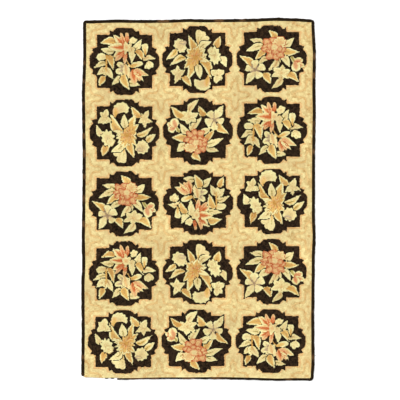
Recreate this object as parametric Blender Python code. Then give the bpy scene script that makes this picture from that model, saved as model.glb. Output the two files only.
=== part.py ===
"""A flat hooked rug: a field of wool loops on cloth, and the whipped yarn edge that runs round it.

X runs across the rug, Y along it and Z up. The origin is the middle of the underside.
The four sides are as uneven as on an old hand-made rug. At one corner the whipping is worn away,
so the edge piece is open there.
"""

from typing import NamedTuple

import bmesh
import bpy
import numpy as np

# Sizes in metres
FIELD_THICKNESS = 0.008  # the cloth and the loops that stand on it
LOOP_SHOULDER = 0.002  # rounding over the outermost loops
EDGE_THICKNESS = 0.009  # the whipping over the turned cloth edge
CORNER_RADIUS = 0.016
PIECE_GAP = 0.0003
WORN_END = -0.426  # along the near side, where the whipping starts again
TIP_LENGTH = 0.004  # the whipping's two ragged ends
TIP_SIZE = 0.6  # their size beside the full section

# How finely the outline is followed
SAMPLE_STEP = 0.030
CORNER_STEPS = 4
EASING = 0.020  # half the stretch over which a side's broken line is evened out
EASING_SAMPLES = 7


class Side(NamedTuple):
    """One side of the rug: the whipping's width, and rows of (along, out).

    along runs from the rug's middle, to the right or up the rug. out is how far the outer edge is
    from the rug's middle there.
    """

    edge_width: float
    rows: tuple


NEAR = Side(
    edge_width=0.009,
    rows=(
        (-0.594, 0.9440),
        (-0.489, 0.9485),
        (-0.389, 0.9462),
        (-0.221, 0.9425),
        (0.114, 0.9420),
        (0.282, 0.9457),
        (0.420, 0.9504),
        (0.492, 0.9478),
        (0.576, 0.9485),
    ),
)
RIGHT = Side(
    edge_width=0.013,
    rows=(
        (-0.928, 0.6030),
        (-0.865, 0.6074),
        (-0.614, 0.6060),
        (-0.278, 0.6095),
        (-0.194, 0.6142),
        (-0.110, 0.6095),
        (0.226, 0.6105),
        (0.477, 0.6142),
        (0.561, 0.6116),
        (0.771, 0.6147),
        (0.897, 0.6074),
    ),
)
FAR = Side(
    edge_width=0.010,
    rows=(
        (-0.557, 0.9373),
        (-0.431, 0.9420),
        (-0.305, 0.9396),
        (-0.137, 0.9410),
        (-0.053, 0.9459),
        (0.030, 0.9430),
        (0.282, 0.9457),
        (0.408, 0.9520),
        (0.534, 0.9478),
        (0.592, 0.9420),
    ),
)
LEFT = Side(
    edge_width=0.012,
    rows=(
        (-0.865, 0.6137),
        (-0.698, 0.6120),
        (-0.446, 0.6140),
        (-0.362, 0.6090),
        (-0.194, 0.6116),
        (-0.110, 0.6095),
        (0.226, 0.6070),
        (0.561, 0.6110),
        (0.729, 0.6040),
        (0.897, 0.6050),
    ),
)

# The whipping's section, from (inset as a share of its width, height as a share of its thickness)
EDGE_SECTION = (
    (0.22, 0.00),
    (0.80, 0.00),
    (1.00, 0.18),
    (1.00, 0.72),
    (0.80, 0.96),
    (0.50, 1.00),
    (0.20, 0.93),
    (0.03, 0.66),
    (0.00, 0.28),
)


def outer_edge(side: Side, along: np.ndarray) -> np.ndarray:
    """How far a side's outer edge is from the middle: its rows' broken line, evened out."""
    table = np.array(side.rows)
    nearby = along + np.linspace(-EASING, EASING, EASING_SAMPLES)[:, None]
    return np.interp(nearby, table[:, 0], table[:, 1]).mean(axis=0)


def stretch(start: float, end: float) -> np.ndarray:
    """Even samples from start to end, both included."""
    count = max(2, round(abs(end - start) / SAMPLE_STEP) + 1)
    return np.linspace(start, end, count)


def corner_centres() -> dict:
    """The middle of each corner's arc, from where its two sides end."""
    centres = {}
    for name, across, along, x_sign, y_sign in (
        ("near_right", RIGHT, NEAR, 1, -1),
        ("far_right", RIGHT, FAR, 1, 1),
        ("far_left", LEFT, FAR, -1, 1),
        ("near_left", LEFT, NEAR, -1, -1),
    ):
        x = float(outer_edge(across, np.array([y_sign * 1.0]))[0]) - CORNER_RADIUS
        y = float(outer_edge(along, np.array([x_sign * 1.0]))[0]) - CORNER_RADIUS
        centres[name] = np.array([x_sign * x, y_sign * y])
    return centres


def corner_arc(centre: np.ndarray, start: float, x_inset: float, y_inset: float) -> np.ndarray:
    """A quarter turn about a corner's middle, anticlockwise from start, without its two ends."""
    turn = start + np.linspace(0, np.pi / 2, CORNER_STEPS + 1)[1:-1]
    reach = CORNER_RADIUS - np.array([x_inset, y_inset])
    return centre + np.column_stack([np.cos(turn), np.sin(turn)]) * reach


def whipped_path(share: float, gap: float = 0.0) -> np.ndarray:
    """The stretch that the whipping covers, anticlockwise from the worn corner's far end.

    share is how far in from the outer edge, as a share of the whipping's width, plus gap.
    """
    near, right, far, left = (share * side.edge_width + gap for side in (NEAR, RIGHT, FAR, LEFT))
    centres = corner_centres()
    near_x = stretch(WORN_END, centres["near_right"][0])
    right_y = stretch(centres["near_right"][1], centres["far_right"][1])
    far_x = stretch(centres["far_right"][0], centres["far_left"][0])
    left_y = stretch(centres["far_left"][1], centres["near_left"][1])
    return np.concatenate(
        [
            np.column_stack([near_x, near - outer_edge(NEAR, near_x)]),
            corner_arc(centres["near_right"], -np.pi / 2, right, near),
            np.column_stack([outer_edge(RIGHT, right_y) - right, right_y]),
            corner_arc(centres["far_right"], 0.0, right, far),
            np.column_stack([far_x, outer_edge(FAR, far_x) - far]),
            corner_arc(centres["far_left"], np.pi / 2, left, far),
            np.column_stack([left - outer_edge(LEFT, left_y), left_y]),
        ]
    )


def worn_path() -> np.ndarray:
    """The field's edge where the whipping is worn away, from the left side's end to the rest."""
    centre = corner_centres()["near_left"]
    left, near = LEFT.edge_width + PIECE_GAP, NEAR.edge_width + PIECE_GAP
    near_x = stretch(centre[0], WORN_END)[:-1]
    return np.concatenate(
        [
            corner_arc(centre, np.pi, left, near),
            np.column_stack([near_x, near - outer_edge(NEAR, near_x)]),
        ]
    )


def middle_of_box() -> np.ndarray:
    """The middle of the rug's box, which becomes the origin."""
    outer = whipped_path(0.0)
    return (outer.min(axis=0) + outer.max(axis=0)) / 2


def wool(name: str, colour: tuple, roughness: float) -> bpy.types.Material:
    """A plain wool finish."""
    material = bpy.data.materials.new(name)
    material.use_nodes = True
    shader = material.node_tree.nodes["Principled BSDF"]
    shader.inputs["Base Color"].default_value = (*colour, 1.0)
    shader.inputs["Roughness"].default_value = roughness
    shader.inputs["Metallic"].default_value = 0.0
    return material


def add_piece(name: str, mesh: bmesh.types.BMesh, material: bpy.types.Material) -> bpy.types.Object:
    """Puts a finished mesh into the scene as one named piece."""
    bmesh.ops.recalc_face_normals(mesh, faces=mesh.faces)
    data = bpy.data.meshes.new(name)
    mesh.to_mesh(data)
    mesh.free()
    data.materials.append(material)
    piece = bpy.data.objects.new(name, data)
    bpy.context.scene.collection.objects.link(piece)
    return piece


def hooked_field(middle: np.ndarray) -> bpy.types.Object:
    """The field: its outline raised to the loops' tops, with the outermost loops rounded over."""
    outline = np.concatenate([whipped_path(1.0, PIECE_GAP), worn_path()]) - middle
    mesh = bmesh.new()
    base = mesh.faces.new([mesh.verts.new((x, y, 0.0)) for x, y in outline])
    raised = bmesh.ops.extrude_face_region(mesh, geom=[base])["geom"]
    top = [item for item in raised if isinstance(item, bmesh.types.BMVert)]
    bmesh.ops.translate(mesh, verts=top, vec=(0.0, 0.0, FIELD_THICKNESS))
    rim = [edge for edge in mesh.edges if all(vert in set(top) for vert in edge.verts)]
    bmesh.ops.bevel(mesh, geom=rim, offset=LOOP_SHOULDER, segments=2, profile=0.5, affect="EDGES")
    bmesh.ops.triangulate(mesh, faces=mesh.faces)
    return add_piece("hooked_field", mesh, wool("field_wool", (0.62, 0.48, 0.29), 0.95))


def edge_binding(middle: np.ndarray) -> bpy.types.Object:
    """The whipping: its section carried along the edge, with a smaller section at each end."""
    rings = np.stack(
        [
            np.column_stack(
                [whipped_path(inset) - middle, np.full(len(whipped_path(inset)), height * EDGE_THICKNESS)]
            )
            for inset, height in EDGE_SECTION
        ],
        axis=1,
    )
    rings = np.concatenate([[worn_tip(rings[0], rings[1])], rings, [worn_tip(rings[-1], rings[-2])]])
    mesh = bmesh.new()
    loops = [[mesh.verts.new(point) for point in ring] for ring in rings]
    for ring, following in zip(loops, loops[1:]):
        for i, vert in enumerate(ring):
            mesh.faces.new((ring[i - 1], vert, following[i], following[i - 1]))
    mesh.faces.new(loops[0])
    mesh.faces.new(loops[-1])
    bmesh.ops.triangulate(mesh, faces=mesh.faces)
    return add_piece("edge_binding", mesh, wool("edge_wool", (0.016, 0.012, 0.010), 0.9))


def worn_tip(ring: np.ndarray, inner: np.ndarray) -> np.ndarray:
    """One end's last section: smaller, and a little past the full one."""
    run = ring.mean(axis=0) - inner.mean(axis=0)
    onward = run / np.linalg.norm(run) * TIP_LENGTH
    seat = ring.mean(axis=0) * (1, 1, 0)
    return seat + (ring - seat) * TIP_SIZE + onward


def main() -> None:
    """Clears the scene and builds the two pieces."""
    for existing in list(bpy.data.objects):
        bpy.data.objects.remove(existing)
    middle = middle_of_box()
    hooked_field(middle)
    edge_binding(middle)


main()
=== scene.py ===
"""The looks of a hooked rug: wool loops in flowered blocks on cloth, and a yarn edge whipped round it.

X runs across the rug, Y along it and Z up, in metres. The pattern's own tables are in millimetres.
"""

import logging
import math
from dataclasses import dataclass, field
from enum import Enum
from typing import NamedTuple

import bpy
import numpy as np
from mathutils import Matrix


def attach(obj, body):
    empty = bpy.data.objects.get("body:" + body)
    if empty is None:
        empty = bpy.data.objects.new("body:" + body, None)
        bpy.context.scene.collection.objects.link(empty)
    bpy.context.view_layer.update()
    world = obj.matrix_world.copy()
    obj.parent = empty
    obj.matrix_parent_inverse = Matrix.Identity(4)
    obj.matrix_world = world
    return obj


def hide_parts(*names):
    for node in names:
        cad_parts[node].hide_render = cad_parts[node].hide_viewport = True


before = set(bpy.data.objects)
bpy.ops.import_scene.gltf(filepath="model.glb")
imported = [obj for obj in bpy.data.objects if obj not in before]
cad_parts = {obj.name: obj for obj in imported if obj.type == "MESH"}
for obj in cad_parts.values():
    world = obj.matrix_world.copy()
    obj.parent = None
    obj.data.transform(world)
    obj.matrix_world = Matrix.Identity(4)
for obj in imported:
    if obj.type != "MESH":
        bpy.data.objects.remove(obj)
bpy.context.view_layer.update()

Array = np.ndarray
Pair = tuple[float, float]
Triple = tuple[float, float, float]
Piece = bpy.types.Object
Socket = bpy.types.NodeSocket

MM = 0.001
LOG = logging.getLogger("hooked_rug")
FIELD_NODE = "hooked_field"
EDGE_NODE = "edge_binding"
BODY = "root"
MOST_TRIANGLES = 185_000  # in one piece of pile
DIGITS = 6  # to which a CAD point is rounded, so that each place counts once
MAP_INSET = 0.002  # how far inside its square a map lies
SHEEN_ROUGHNESS = 0.6


def as_seen(red: float, green: float, blue: float) -> Triple:
    """The linear colour of a dye given as it looks, from 0 to 255 a channel, by the sRGB curve.

    Args:
        red, green, blue: The dye, as a screen shows it.

    Returns:
        The three linear shares, from 0 to 1.
    """
    shares = np.array([red, green, blue]) / 255
    linear = np.where(shares <= 0.04045, shares / 12.92, ((shares + 0.055) / 1.055) ** 2.4)
    return tuple(float(share) for share in linear)


class Yarn(Enum):
    """The dyed wools, by their numbers in the chart."""

    CREAM = 0
    DARK = 1
    PEACH = 2
    TAN = 3
    IVORY = 4
    GOLD = 5
    CORAL = 6
    PINK = 7
    LILAC = 8
    OLIVE = 9


CREAM, DARK, PEACH, TAN, IVORY, GOLD, CORAL, PINK, LILAC, OLIVE = Yarn


@dataclass(frozen=True)
class Wander:
    """A smooth value that wanders between about -1 and 1 over the rug."""

    wavelength: float
    seed: int
    waves: int = 9
    spread: Pair = (0.6, 1.6)  # the least and the most waves beside the usual number
    quiet: float = 0.9  # times the root of the waves, by which their sum is divided

    def at(self, x: Array, y: Array) -> Array:
        """The value at each place: a sum of sine waves that run in seeded directions.

        Args:
            x: Places across the rug.
            y: Places along the rug, in the same unit as x and the wavelength.

        Returns:
            The sum, scaled so that it rarely passes 1.
        """
        draw = np.random.default_rng(self.seed)
        turns = draw.uniform(0, 2 * np.pi, self.waves)
        phases = draw.uniform(0, 2 * np.pi, self.waves)
        pulls = draw.uniform(*self.spread, self.waves) * 2 * np.pi / self.wavelength
        total = np.zeros(np.broadcast(x, y).shape, np.float32)
        for turn, phase, pull in zip(turns, phases, pulls):
            total += np.sin((x * np.cos(turn) + y * np.sin(turn)) * pull + phase).astype(np.float32)
        return total / (self.quiet * np.sqrt(self.waves))


def ramp(line: Pair, at: Array) -> Array:
    """The first number, plus the second times the value at each place."""
    return line[0] + line[1] * at


def run_along(line: Array) -> Array:
    """How far each point of a broken line lies along it."""
    return np.concatenate([[0], np.hypot(*np.diff(line, axis=0).T).cumsum()])


def turns_of(count: int) -> Array:
    """Evenly spaced angles once round, without the last, which is the first again."""
    return np.linspace(0, 2 * np.pi, count, endpoint=False)


def right_of_middle(x: Array, middle: float = 0.06, reach: float = 0.2) -> Array:
    """How far right of the near side's middle x lies, as a share of a reach, from -0.5 to 0.5."""
    return np.clip((x - middle) / reach, -0.5, 0.5)


# ------------------------ the outline


def node_points(node: str) -> Array:
    """A CAD node's vertices, as rows of x, y and z.

    Args:
        node: The node's name.

    Returns:
        One row for each vertex.
    """
    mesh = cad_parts[node].data
    points = np.empty(len(mesh.vertices) * 3)
    mesh.vertices.foreach_get("co", points)
    return points.reshape(-1, 3)


@dataclass
class FieldOutline:
    """The four uneven edges of the hooked field, read from its node's foot.

    The foot's points go round in order, and the one that lies farthest out towards each corner parts
    one side from the next. A side is a broken line with its run measured along it.
    """

    foot: float = 0.1 * MM  # points lower than this are the foot's
    sides: dict[str, Array] = field(default_factory=dict)

    def __post_init__(self) -> None:
        """Parts the foot's points into near, right, far and left, each kept from low to high."""
        points = node_points(FIELD_NODE)
        rim = np.unique(np.round(points[points[:, 2] < self.foot, :2], DIGITS), axis=0)
        rim = rim[np.argsort(np.arctan2(rim[:, 1], rim[:, 0]))]
        self.low, self.high = rim.min(axis=0), rim.max(axis=0)
        share = 2 * (rim - self.low) / (self.high - self.low) - 1
        corners = [int(np.argmax(share @ np.array(way))) for way in ((-1, -1), (1, -1), (1, 1), (-1, 1))]
        for name, start, end in zip(("near", "right", "far", "left"), corners, corners[1:] + corners[:1]):
            steps = (end - start) % len(rim) + 1
            side = rim[(start + np.arange(steps)) % len(rim)]
            self.sides[name] = side if name in ("near", "right") else side[::-1]

    def edge(self, name: str, share: Array) -> Array:
        """The x and y at a share of one side's run, in the last axis.

        Args:
            name: near, right, far or left.
            share: Shares from 0 at the side's low end to 1.

        Returns:
            The x and y of each.
        """
        side = self.sides[name]
        run = run_along(side)
        return np.stack([np.interp(share * run[-1], run, side[:, axis]) for axis in (0, 1)], axis=-1)

    def place(self, s: Array, t: Array) -> tuple[Array, Array]:
        """Where the shares s, across, and t, along, fall on the field.

        The two long sides are mixed by s and the two short ones by t. Their sum, less the four
        corners mixed by both, meets every side exactly.

        Args:
            s: Shares from 0 at the left to 1 at the right.
            t: Shares from 0 at the near side to 1 at the far side.

        Returns:
            The x and the y of each place.
        """
        across, along = s[..., None], t[..., None]
        near, far = self.edge("near", s), self.edge("far", s)
        left, right = self.edge("left", t), self.edge("right", t)
        near_left, near_right = self.sides["near"][0], self.sides["near"][-1]
        far_left, far_right = self.sides["far"][0], self.sides["far"][-1]
        corners = ((near_left * (1 - across) + near_right * across) * (1 - along)
                   + (far_left * (1 - across) + far_right * across) * along)
        mixed = near * (1 - along) + far * along + left * (1 - across) + right * across - corners
        return mixed[..., 0], mixed[..., 1]


# ------------------------ the chart


@dataclass
class Patch:
    """A window of the chart, with its places measured from the patch's own middle in millimetres."""

    u: Array
    v: Array
    yarn: Array
    shade: Array

    def dye(self, inside: Array, yarn: Yarn, shade: Array | float) -> None:
        """Gives the places inside a shape their yarn and their shade, 0 deep to 1 light."""
        self.yarn[inside] = yarn.value
        self.shade[inside] = np.broadcast_to(shade, inside.shape)[inside]


@dataclass
class Chart:
    """The rug's pattern: a yarn number and a shade on a fine square mesh of places."""

    low: Array
    high: Array
    step: float = 1.15 * MM
    wobble: float = 1.0 * MM  # how far the drawn lines stray from true
    fine_wobble: float = 0.5 * MM
    wobbles: tuple[Wander, ...] = (Wander(0.11, 11), Wander(0.10, 13))  # in x and in y
    fine_wobbles: tuple[Wander, ...] = (Wander(0.03, 12), Wander(0.03, 14))
    margin: float = 5 * MM  # past the field on every side

    def __post_init__(self) -> None:
        """Lays out the places, and the strayed ones at which the shapes are drawn."""
        self.x = np.arange(self.low[0] - self.margin, self.high[0] + self.margin, self.step, np.float32)
        self.y = np.arange(self.low[1] - self.margin, self.high[1] + self.margin, self.step, np.float32)
        x, y = np.meshgrid(self.x, self.y)
        self.drawn_x, self.drawn_y = (
            place + self.wobble * slow.at(x, y) + self.fine_wobble * fine.at(x, y)
            for place, slow, fine in zip((x, y), self.wobbles, self.fine_wobbles))
        self.yarn = np.full(x.shape, CREAM.value, np.uint8)
        self.shade = np.full(x.shape, 0.5, np.float32)

    def patch(self, centre: Pair, reach: float, stretch: Pair = (1, 1),
              turned: bool = False) -> Patch:
        """The window of the chart round a centre.

        Args:
            centre: The window's middle, in metres.
            reach: Half the window's width, in metres.
            stretch: How much wider and longer than its drawing the block is.
            turned: Whether the drawing is turned by half a turn.

        Returns:
            A patch whose arrays are parts of the chart's own.
        """
        columns = slice(*np.searchsorted(self.x, (centre[0] - reach, centre[0] + reach)))
        rows = slice(*np.searchsorted(self.y, (centre[1] - reach, centre[1] + reach)))
        sign = -1 if turned else 1
        u = (self.drawn_x[rows, columns] - centre[0]) / (MM * stretch[0] * sign)
        v = (self.drawn_y[rows, columns] - centre[1]) / (MM * stretch[1] * sign)
        return Patch(u, v, self.yarn[rows, columns], self.shade[rows, columns])

    def index(self, x: Array, y: Array) -> tuple[Array, Array]:
        """The row and column of the chart nearest to each place.

        Args:
            x: Places across the rug.
            y: Places along it.

        Returns:
            The rows and the columns.
        """
        row = np.clip(np.rint((y - self.y[0]) / self.step).astype(int), 0, len(self.y) - 1)
        column = np.clip(np.rint((x - self.x[0]) / self.step).astype(int), 0, len(self.x) - 1)
        return row, column

    def main_yarn(self, x: Array, y: Array, spread: float) -> Array:
        """The yarn that most of nine places round each point ask for.

        Args:
            x: Points across the rug.
            y: Points along it.
            spread: How far apart the nine lie.

        Returns:
            The yarns' numbers.
        """
        asked = np.zeros((len(Yarn), *x.shape), np.uint8)
        for across in (-spread, 0, spread):
            for along in (-spread, 0, spread):
                here = self.yarn[self.index(x + across, y + along)]
                for yarn in Yarn:
                    asked[yarn.value] += here == yarn.value
        return asked.argmax(axis=0)

    def pull_to_lines(self, x: Array, y: Array, window: float) -> tuple[Array, Array]:
        """How far each point is from the middle of the colour lines in a window round it.

        A line lies where the yarn changes from one place of the chart to the next. Running sums of
        those places, and of their x and y, give every window's mean in one step.

        Args:
            x: Points across the rug.
            y: Points along the rug.
            window: Half the window's width.

        Returns:
            The x and y shifts to that mean, nought where the window holds no line.
        """
        change = np.zeros(self.yarn.shape)
        change[:, 1:] += self.yarn[:, 1:] != self.yarn[:, :-1]
        change[1:] += self.yarn[1:] != self.yarn[:-1]
        reach = int(round(window / self.step))
        row, column = self.index(x, y)
        top, bottom = np.clip(row - reach, 0, None), np.clip(row + reach + 1, None, len(self.y))
        left, right = np.clip(column - reach, 0, None), np.clip(column + reach + 1, None, len(self.x))
        sums = []
        for weight in (change, change * self.x[None, :], change * self.y[:, None]):
            running = np.zeros((weight.shape[0] + 1, weight.shape[1] + 1))
            running[1:, 1:] = weight.cumsum(axis=0).cumsum(axis=1)
            to_right = running[bottom, right] - running[top, right]
            sums.append(to_right - running[bottom, left] + running[top, left])
        found = sums[0] > 0.5
        count = np.where(found, sums[0], 1)
        return np.where(found, sums[1] / count - x, 0), np.where(found, sums[2] / count - y, 0)


# ------------------------ flowers and leaves


class Form(Enum):
    """Outlines of a petal, as (rise, fall, ogee).

    Its half width at t along it goes as t to the rise times (1 - t) to the fall. Where its middle
    bows, the bow goes as t times (1 - t) to the ogee, so that 2 gives a tip that curves back.
    """

    LEAF = (0.58, 1.30, 2)
    LANCE = (0.70, 0.95, 1)
    PETAL = (0.75, 0.60, 1)
    FAN = (1.10, 0.32, 1)
    ROUND = (0.50, 0.50, 1)


LEAF, LANCE, PETAL, FAN, ROUND = Form


def share_of_peak(t: Array, rise: float, fall: float) -> Array:
    """t to the rise times (1 - t) to the fall, as a share of the most that it reaches."""
    peak = rise / (rise + fall)
    return t**rise * (1 - t) ** fall / (peak**rise * (1 - peak) ** fall)


class Heart(NamedTuple):
    """A wool laid inside a petal: its width beside the petal's, and how far along it ends.

    shade is its depth of dye at the root, in the middle, from 0 deep to 1 light.
    """

    yarn: Yarn
    width: float
    end: float = 1.0
    shade: float = 0.12


class Tint(NamedTuple):
    """How a petal or a blossom is coloured, each wool laid over the last."""

    rim: Yarn
    hearts: tuple[Heart, ...] = ()
    vein: Yarn | None = None  # up a petal's middle, or between a blossom's lobes
    fold: Yarn | None = None  # along both edges, near the root
    outline: Yarn | None = DARK
    seam: Yarn | None = TAN  # where it meets another petal, if it has no outline or is in a whorl
    shade: float = 0.42  # the rim's depth of dye


def dyed(rim: Yarn, *hearts: tuple, **others: Yarn | float | None) -> Tint:
    """A tint, from its rim's wool, a row for each of its hearts, and its other fields by name."""
    return Tint(rim, tuple(Heart(*heart) for heart in hearts), **others)


IVORY_LEAF = dyed(IVORY, (CREAM, 0.84, 0.92, 0.40), vein=OLIVE)
YELLOW_LEAF = dyed(IVORY, (CREAM, 0.88, 0.94, 0.34), vein=TAN)
HONEY_LEAF = dyed(IVORY, (CREAM, 0.92, 0.97, 0.38), (GOLD, 0.62, 0.62, 0.50), vein=OLIVE)
GOLD_LEAF = dyed(IVORY, (CREAM, 0.94, 0.98, 0.38), (GOLD, 0.86, 0.90, 0.22), vein=TAN)
AMBER_LEAF = dyed(CREAM, (PEACH, 0.94, 0.97), (GOLD, 0.86, 0.92, 0.24), vein=TAN)
JOINED_LEAF = GOLD_LEAF._replace(outline=None)
CREAM_PETAL = dyed(IVORY, (CREAM, 0.72, 0.86, 0.34))
JOINED_PETAL = CREAM_PETAL._replace(outline=None)
CUP_PETAL = dyed(IVORY, (CREAM, 0.90, 0.92, 0.36), (GOLD, 0.90, 0.66, 0.34))
TRUMPET_PETAL = dyed(CREAM, (OLIVE, 0.30, 0.70, 0.95), (GOLD, 0.94, 0.42, 0.30), seam=None, shade=0.50)
SHELL_PETAL = dyed(IVORY, (CREAM, 0.80, 0.88, 0.30), seam=CREAM)
FLAME_PETAL = dyed(IVORY, (PEACH, 0.90, 1.0, 0.30), (PINK, 0.60, 0.88), (CORAL, 0.50, 0.80, 0.04),
                   outline=None, seam=TAN)
BUD_PETAL = dyed(IVORY, (PEACH, 0.88, 0.96, 0.34), (PINK, 0.36, 0.60, 0.50), outline=None, seam=CORAL)
COAL_PETAL = dyed(PEACH, (PINK, 0.90, 0.95), (CORAL, 0.66, 0.80, 0.20), outline=None, seam=CORAL)
PINK_PETAL = dyed(PEACH, (PINK, 0.84, 0.98), (CORAL, 0.40, 0.80), fold=CORAL, outline=None, seam=CORAL)
SUN_PETAL = dyed(IVORY, (PEACH, 0.94, 0.98), (GOLD, 0.84, 0.94, 0.20), outline=None)
PALE_SUN = dyed(IVORY, (CREAM, 0.88, 0.92, 0.34), (GOLD, 0.56, 0.52, 0.30), outline=None)
SUN_HEART = dyed(GOLD, (CORAL, 0.30, 0.70, 0.40), fold=PEACH, outline=None)
LILAC_PETAL = dyed(IVORY, (CREAM, 0.66, 0.95), (LILAC, 0.62, 0.70, 0.22), fold=LILAC, seam=LILAC)
FOLDED_PETAL = dyed(IVORY, (CREAM, 0.80, 0.90, 0.34), fold=LILAC, outline=None, seam=LILAC)
STAR_PETAL = dyed(IVORY, (CREAM, 0.86, 0.90, 0.36), outline=None, seam=CREAM)
ROSE_LOBE = dyed(PINK, (PEACH, 0.58, 1.0, 0.0), outline=CORAL, shade=0.06)
IVORY_ROUND = dyed(IVORY, (CREAM, 0.70, 1.0, 0.24))
PLAIN_CREAM = dyed(CREAM, outline=None)
LILAC_MIDDLE = dyed(CREAM, (PEACH, 0.5, 0.9), outline=None, seam=LILAC)
LILAC_SHADOW = dyed(LILAC, (CREAM, 0.6, 0.9), outline=None, seam=None)
GOLD_SHADOW = dyed(PEACH, (GOLD, 0.84, 0.95, 0.35), outline=None, seam=None)
OPEN_STAR = STAR_PETAL._replace(outline=DARK)
BELL_PETAL = dyed(IVORY, (CREAM, 0.86, 0.9, 0.34), seam=CREAM)
BLUSH_PETAL = dyed(IVORY, (PEACH, 0.84, 0.94, 0.30), (PINK, 0.62, 0.80), outline=None, seam=CORAL)
CUP_LEAF = dyed(IVORY, (OLIVE, 0.7, 0.9, 0.40))
IVORY_CLUSTER = dyed(IVORY, (CREAM, 0.50), shade=0.5)
PALE_FAN = dyed(IVORY, (PEACH, 0.84), vein=IVORY, outline=CORAL)
ROSE_MIDDLE = dyed(PEACH, (CREAM, 0.7), outline=PINK)
FOLD_LINE = dyed(LILAC, outline=None, seam=None)
ROSE_LINE = dyed(CORAL, outline=None, seam=None, shade=0.10)
STEM = dyed(GOLD, outline=None, seam=None, shade=0.25)

# In millimetres
OUTLINE = 4.6  # how wide the line round a petal is
COLOURED_OUTLINE = 3.8  # where that line isn't a dark one
TRIM = 1.5  # how much slimmer than drawn a petal is, on each side
SEAM = 2.2  # how far a petal shadows the one below it
VEIN = 2.3  # half a vein's width
FOLD = 3.6  # how wide a fold is
LEAST = 0.05  # the least half width of a petal, and of a heart, that is worked with

# Shares of the way along a petal
ENDS = 1e-4  # how near its two ends its width is worked out
HEART_START = 0.04
VEIN_RUN = (0.06, 0.46)
FOLD_END = 0.62
VEIN_OUT = (0.42, 0.9)  # of the way out from a blossom's middle
NARROWING = 0.6  # the power at which a heart narrows to its end

# Depths of dye, from 0 deep to 1 light
LINE_DYE = 0.3
COLOURED_LINE_DYE = 0.15
SEAM_DYE = 0.10
BLOSSOM_HEART_DYE = 0.18  # besides the heart's own

# How much lighter a wool is at the tip and at the edge
RIM_LIGHTER = (0.30, 0.35)
HEART_LIGHTER = (0.45, 0.45)
BLOSSOM_LIGHTER = (0.40, 0.60)  # the rim and the hearts of a blossom, at the edge
DISC_MIDDLE = 0.5  # the share of a disc's shade that its middle has
STRAY_LIGHTER = 2.5  # for each share by which a petal is wider than drawn

# A depth of dye at the root or middle, and how much lighter it is a whole way out
FOLD_DYE = (0.15, 0.8)
VEIN_DYE = (0.15, 1.0)
BLOSSOM_VEIN_DYE = (0.2, 0.6)


@dataclass
class Strays:
    """Small seeded shifts of the drawn shapes: four lengths in millimetres and a share of the size."""

    seed: int = 5
    shift: float = 1.9
    growth: float = 0.05

    def __post_init__(self) -> None:
        """Starts the row of draws."""
        self.source = np.random.default_rng(self.seed)

    def following(self) -> Array:
        """The next five."""
        return self.source.normal(0, (self.shift,) * 4 + (self.growth,))


def line_of(yarn: Yarn) -> Pair:
    """How wide an outline of one wool is, and its depth of dye."""
    return (OUTLINE, LINE_DYE) if yarn is DARK else (COLOURED_OUTLINE, COLOURED_LINE_DYE)


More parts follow.
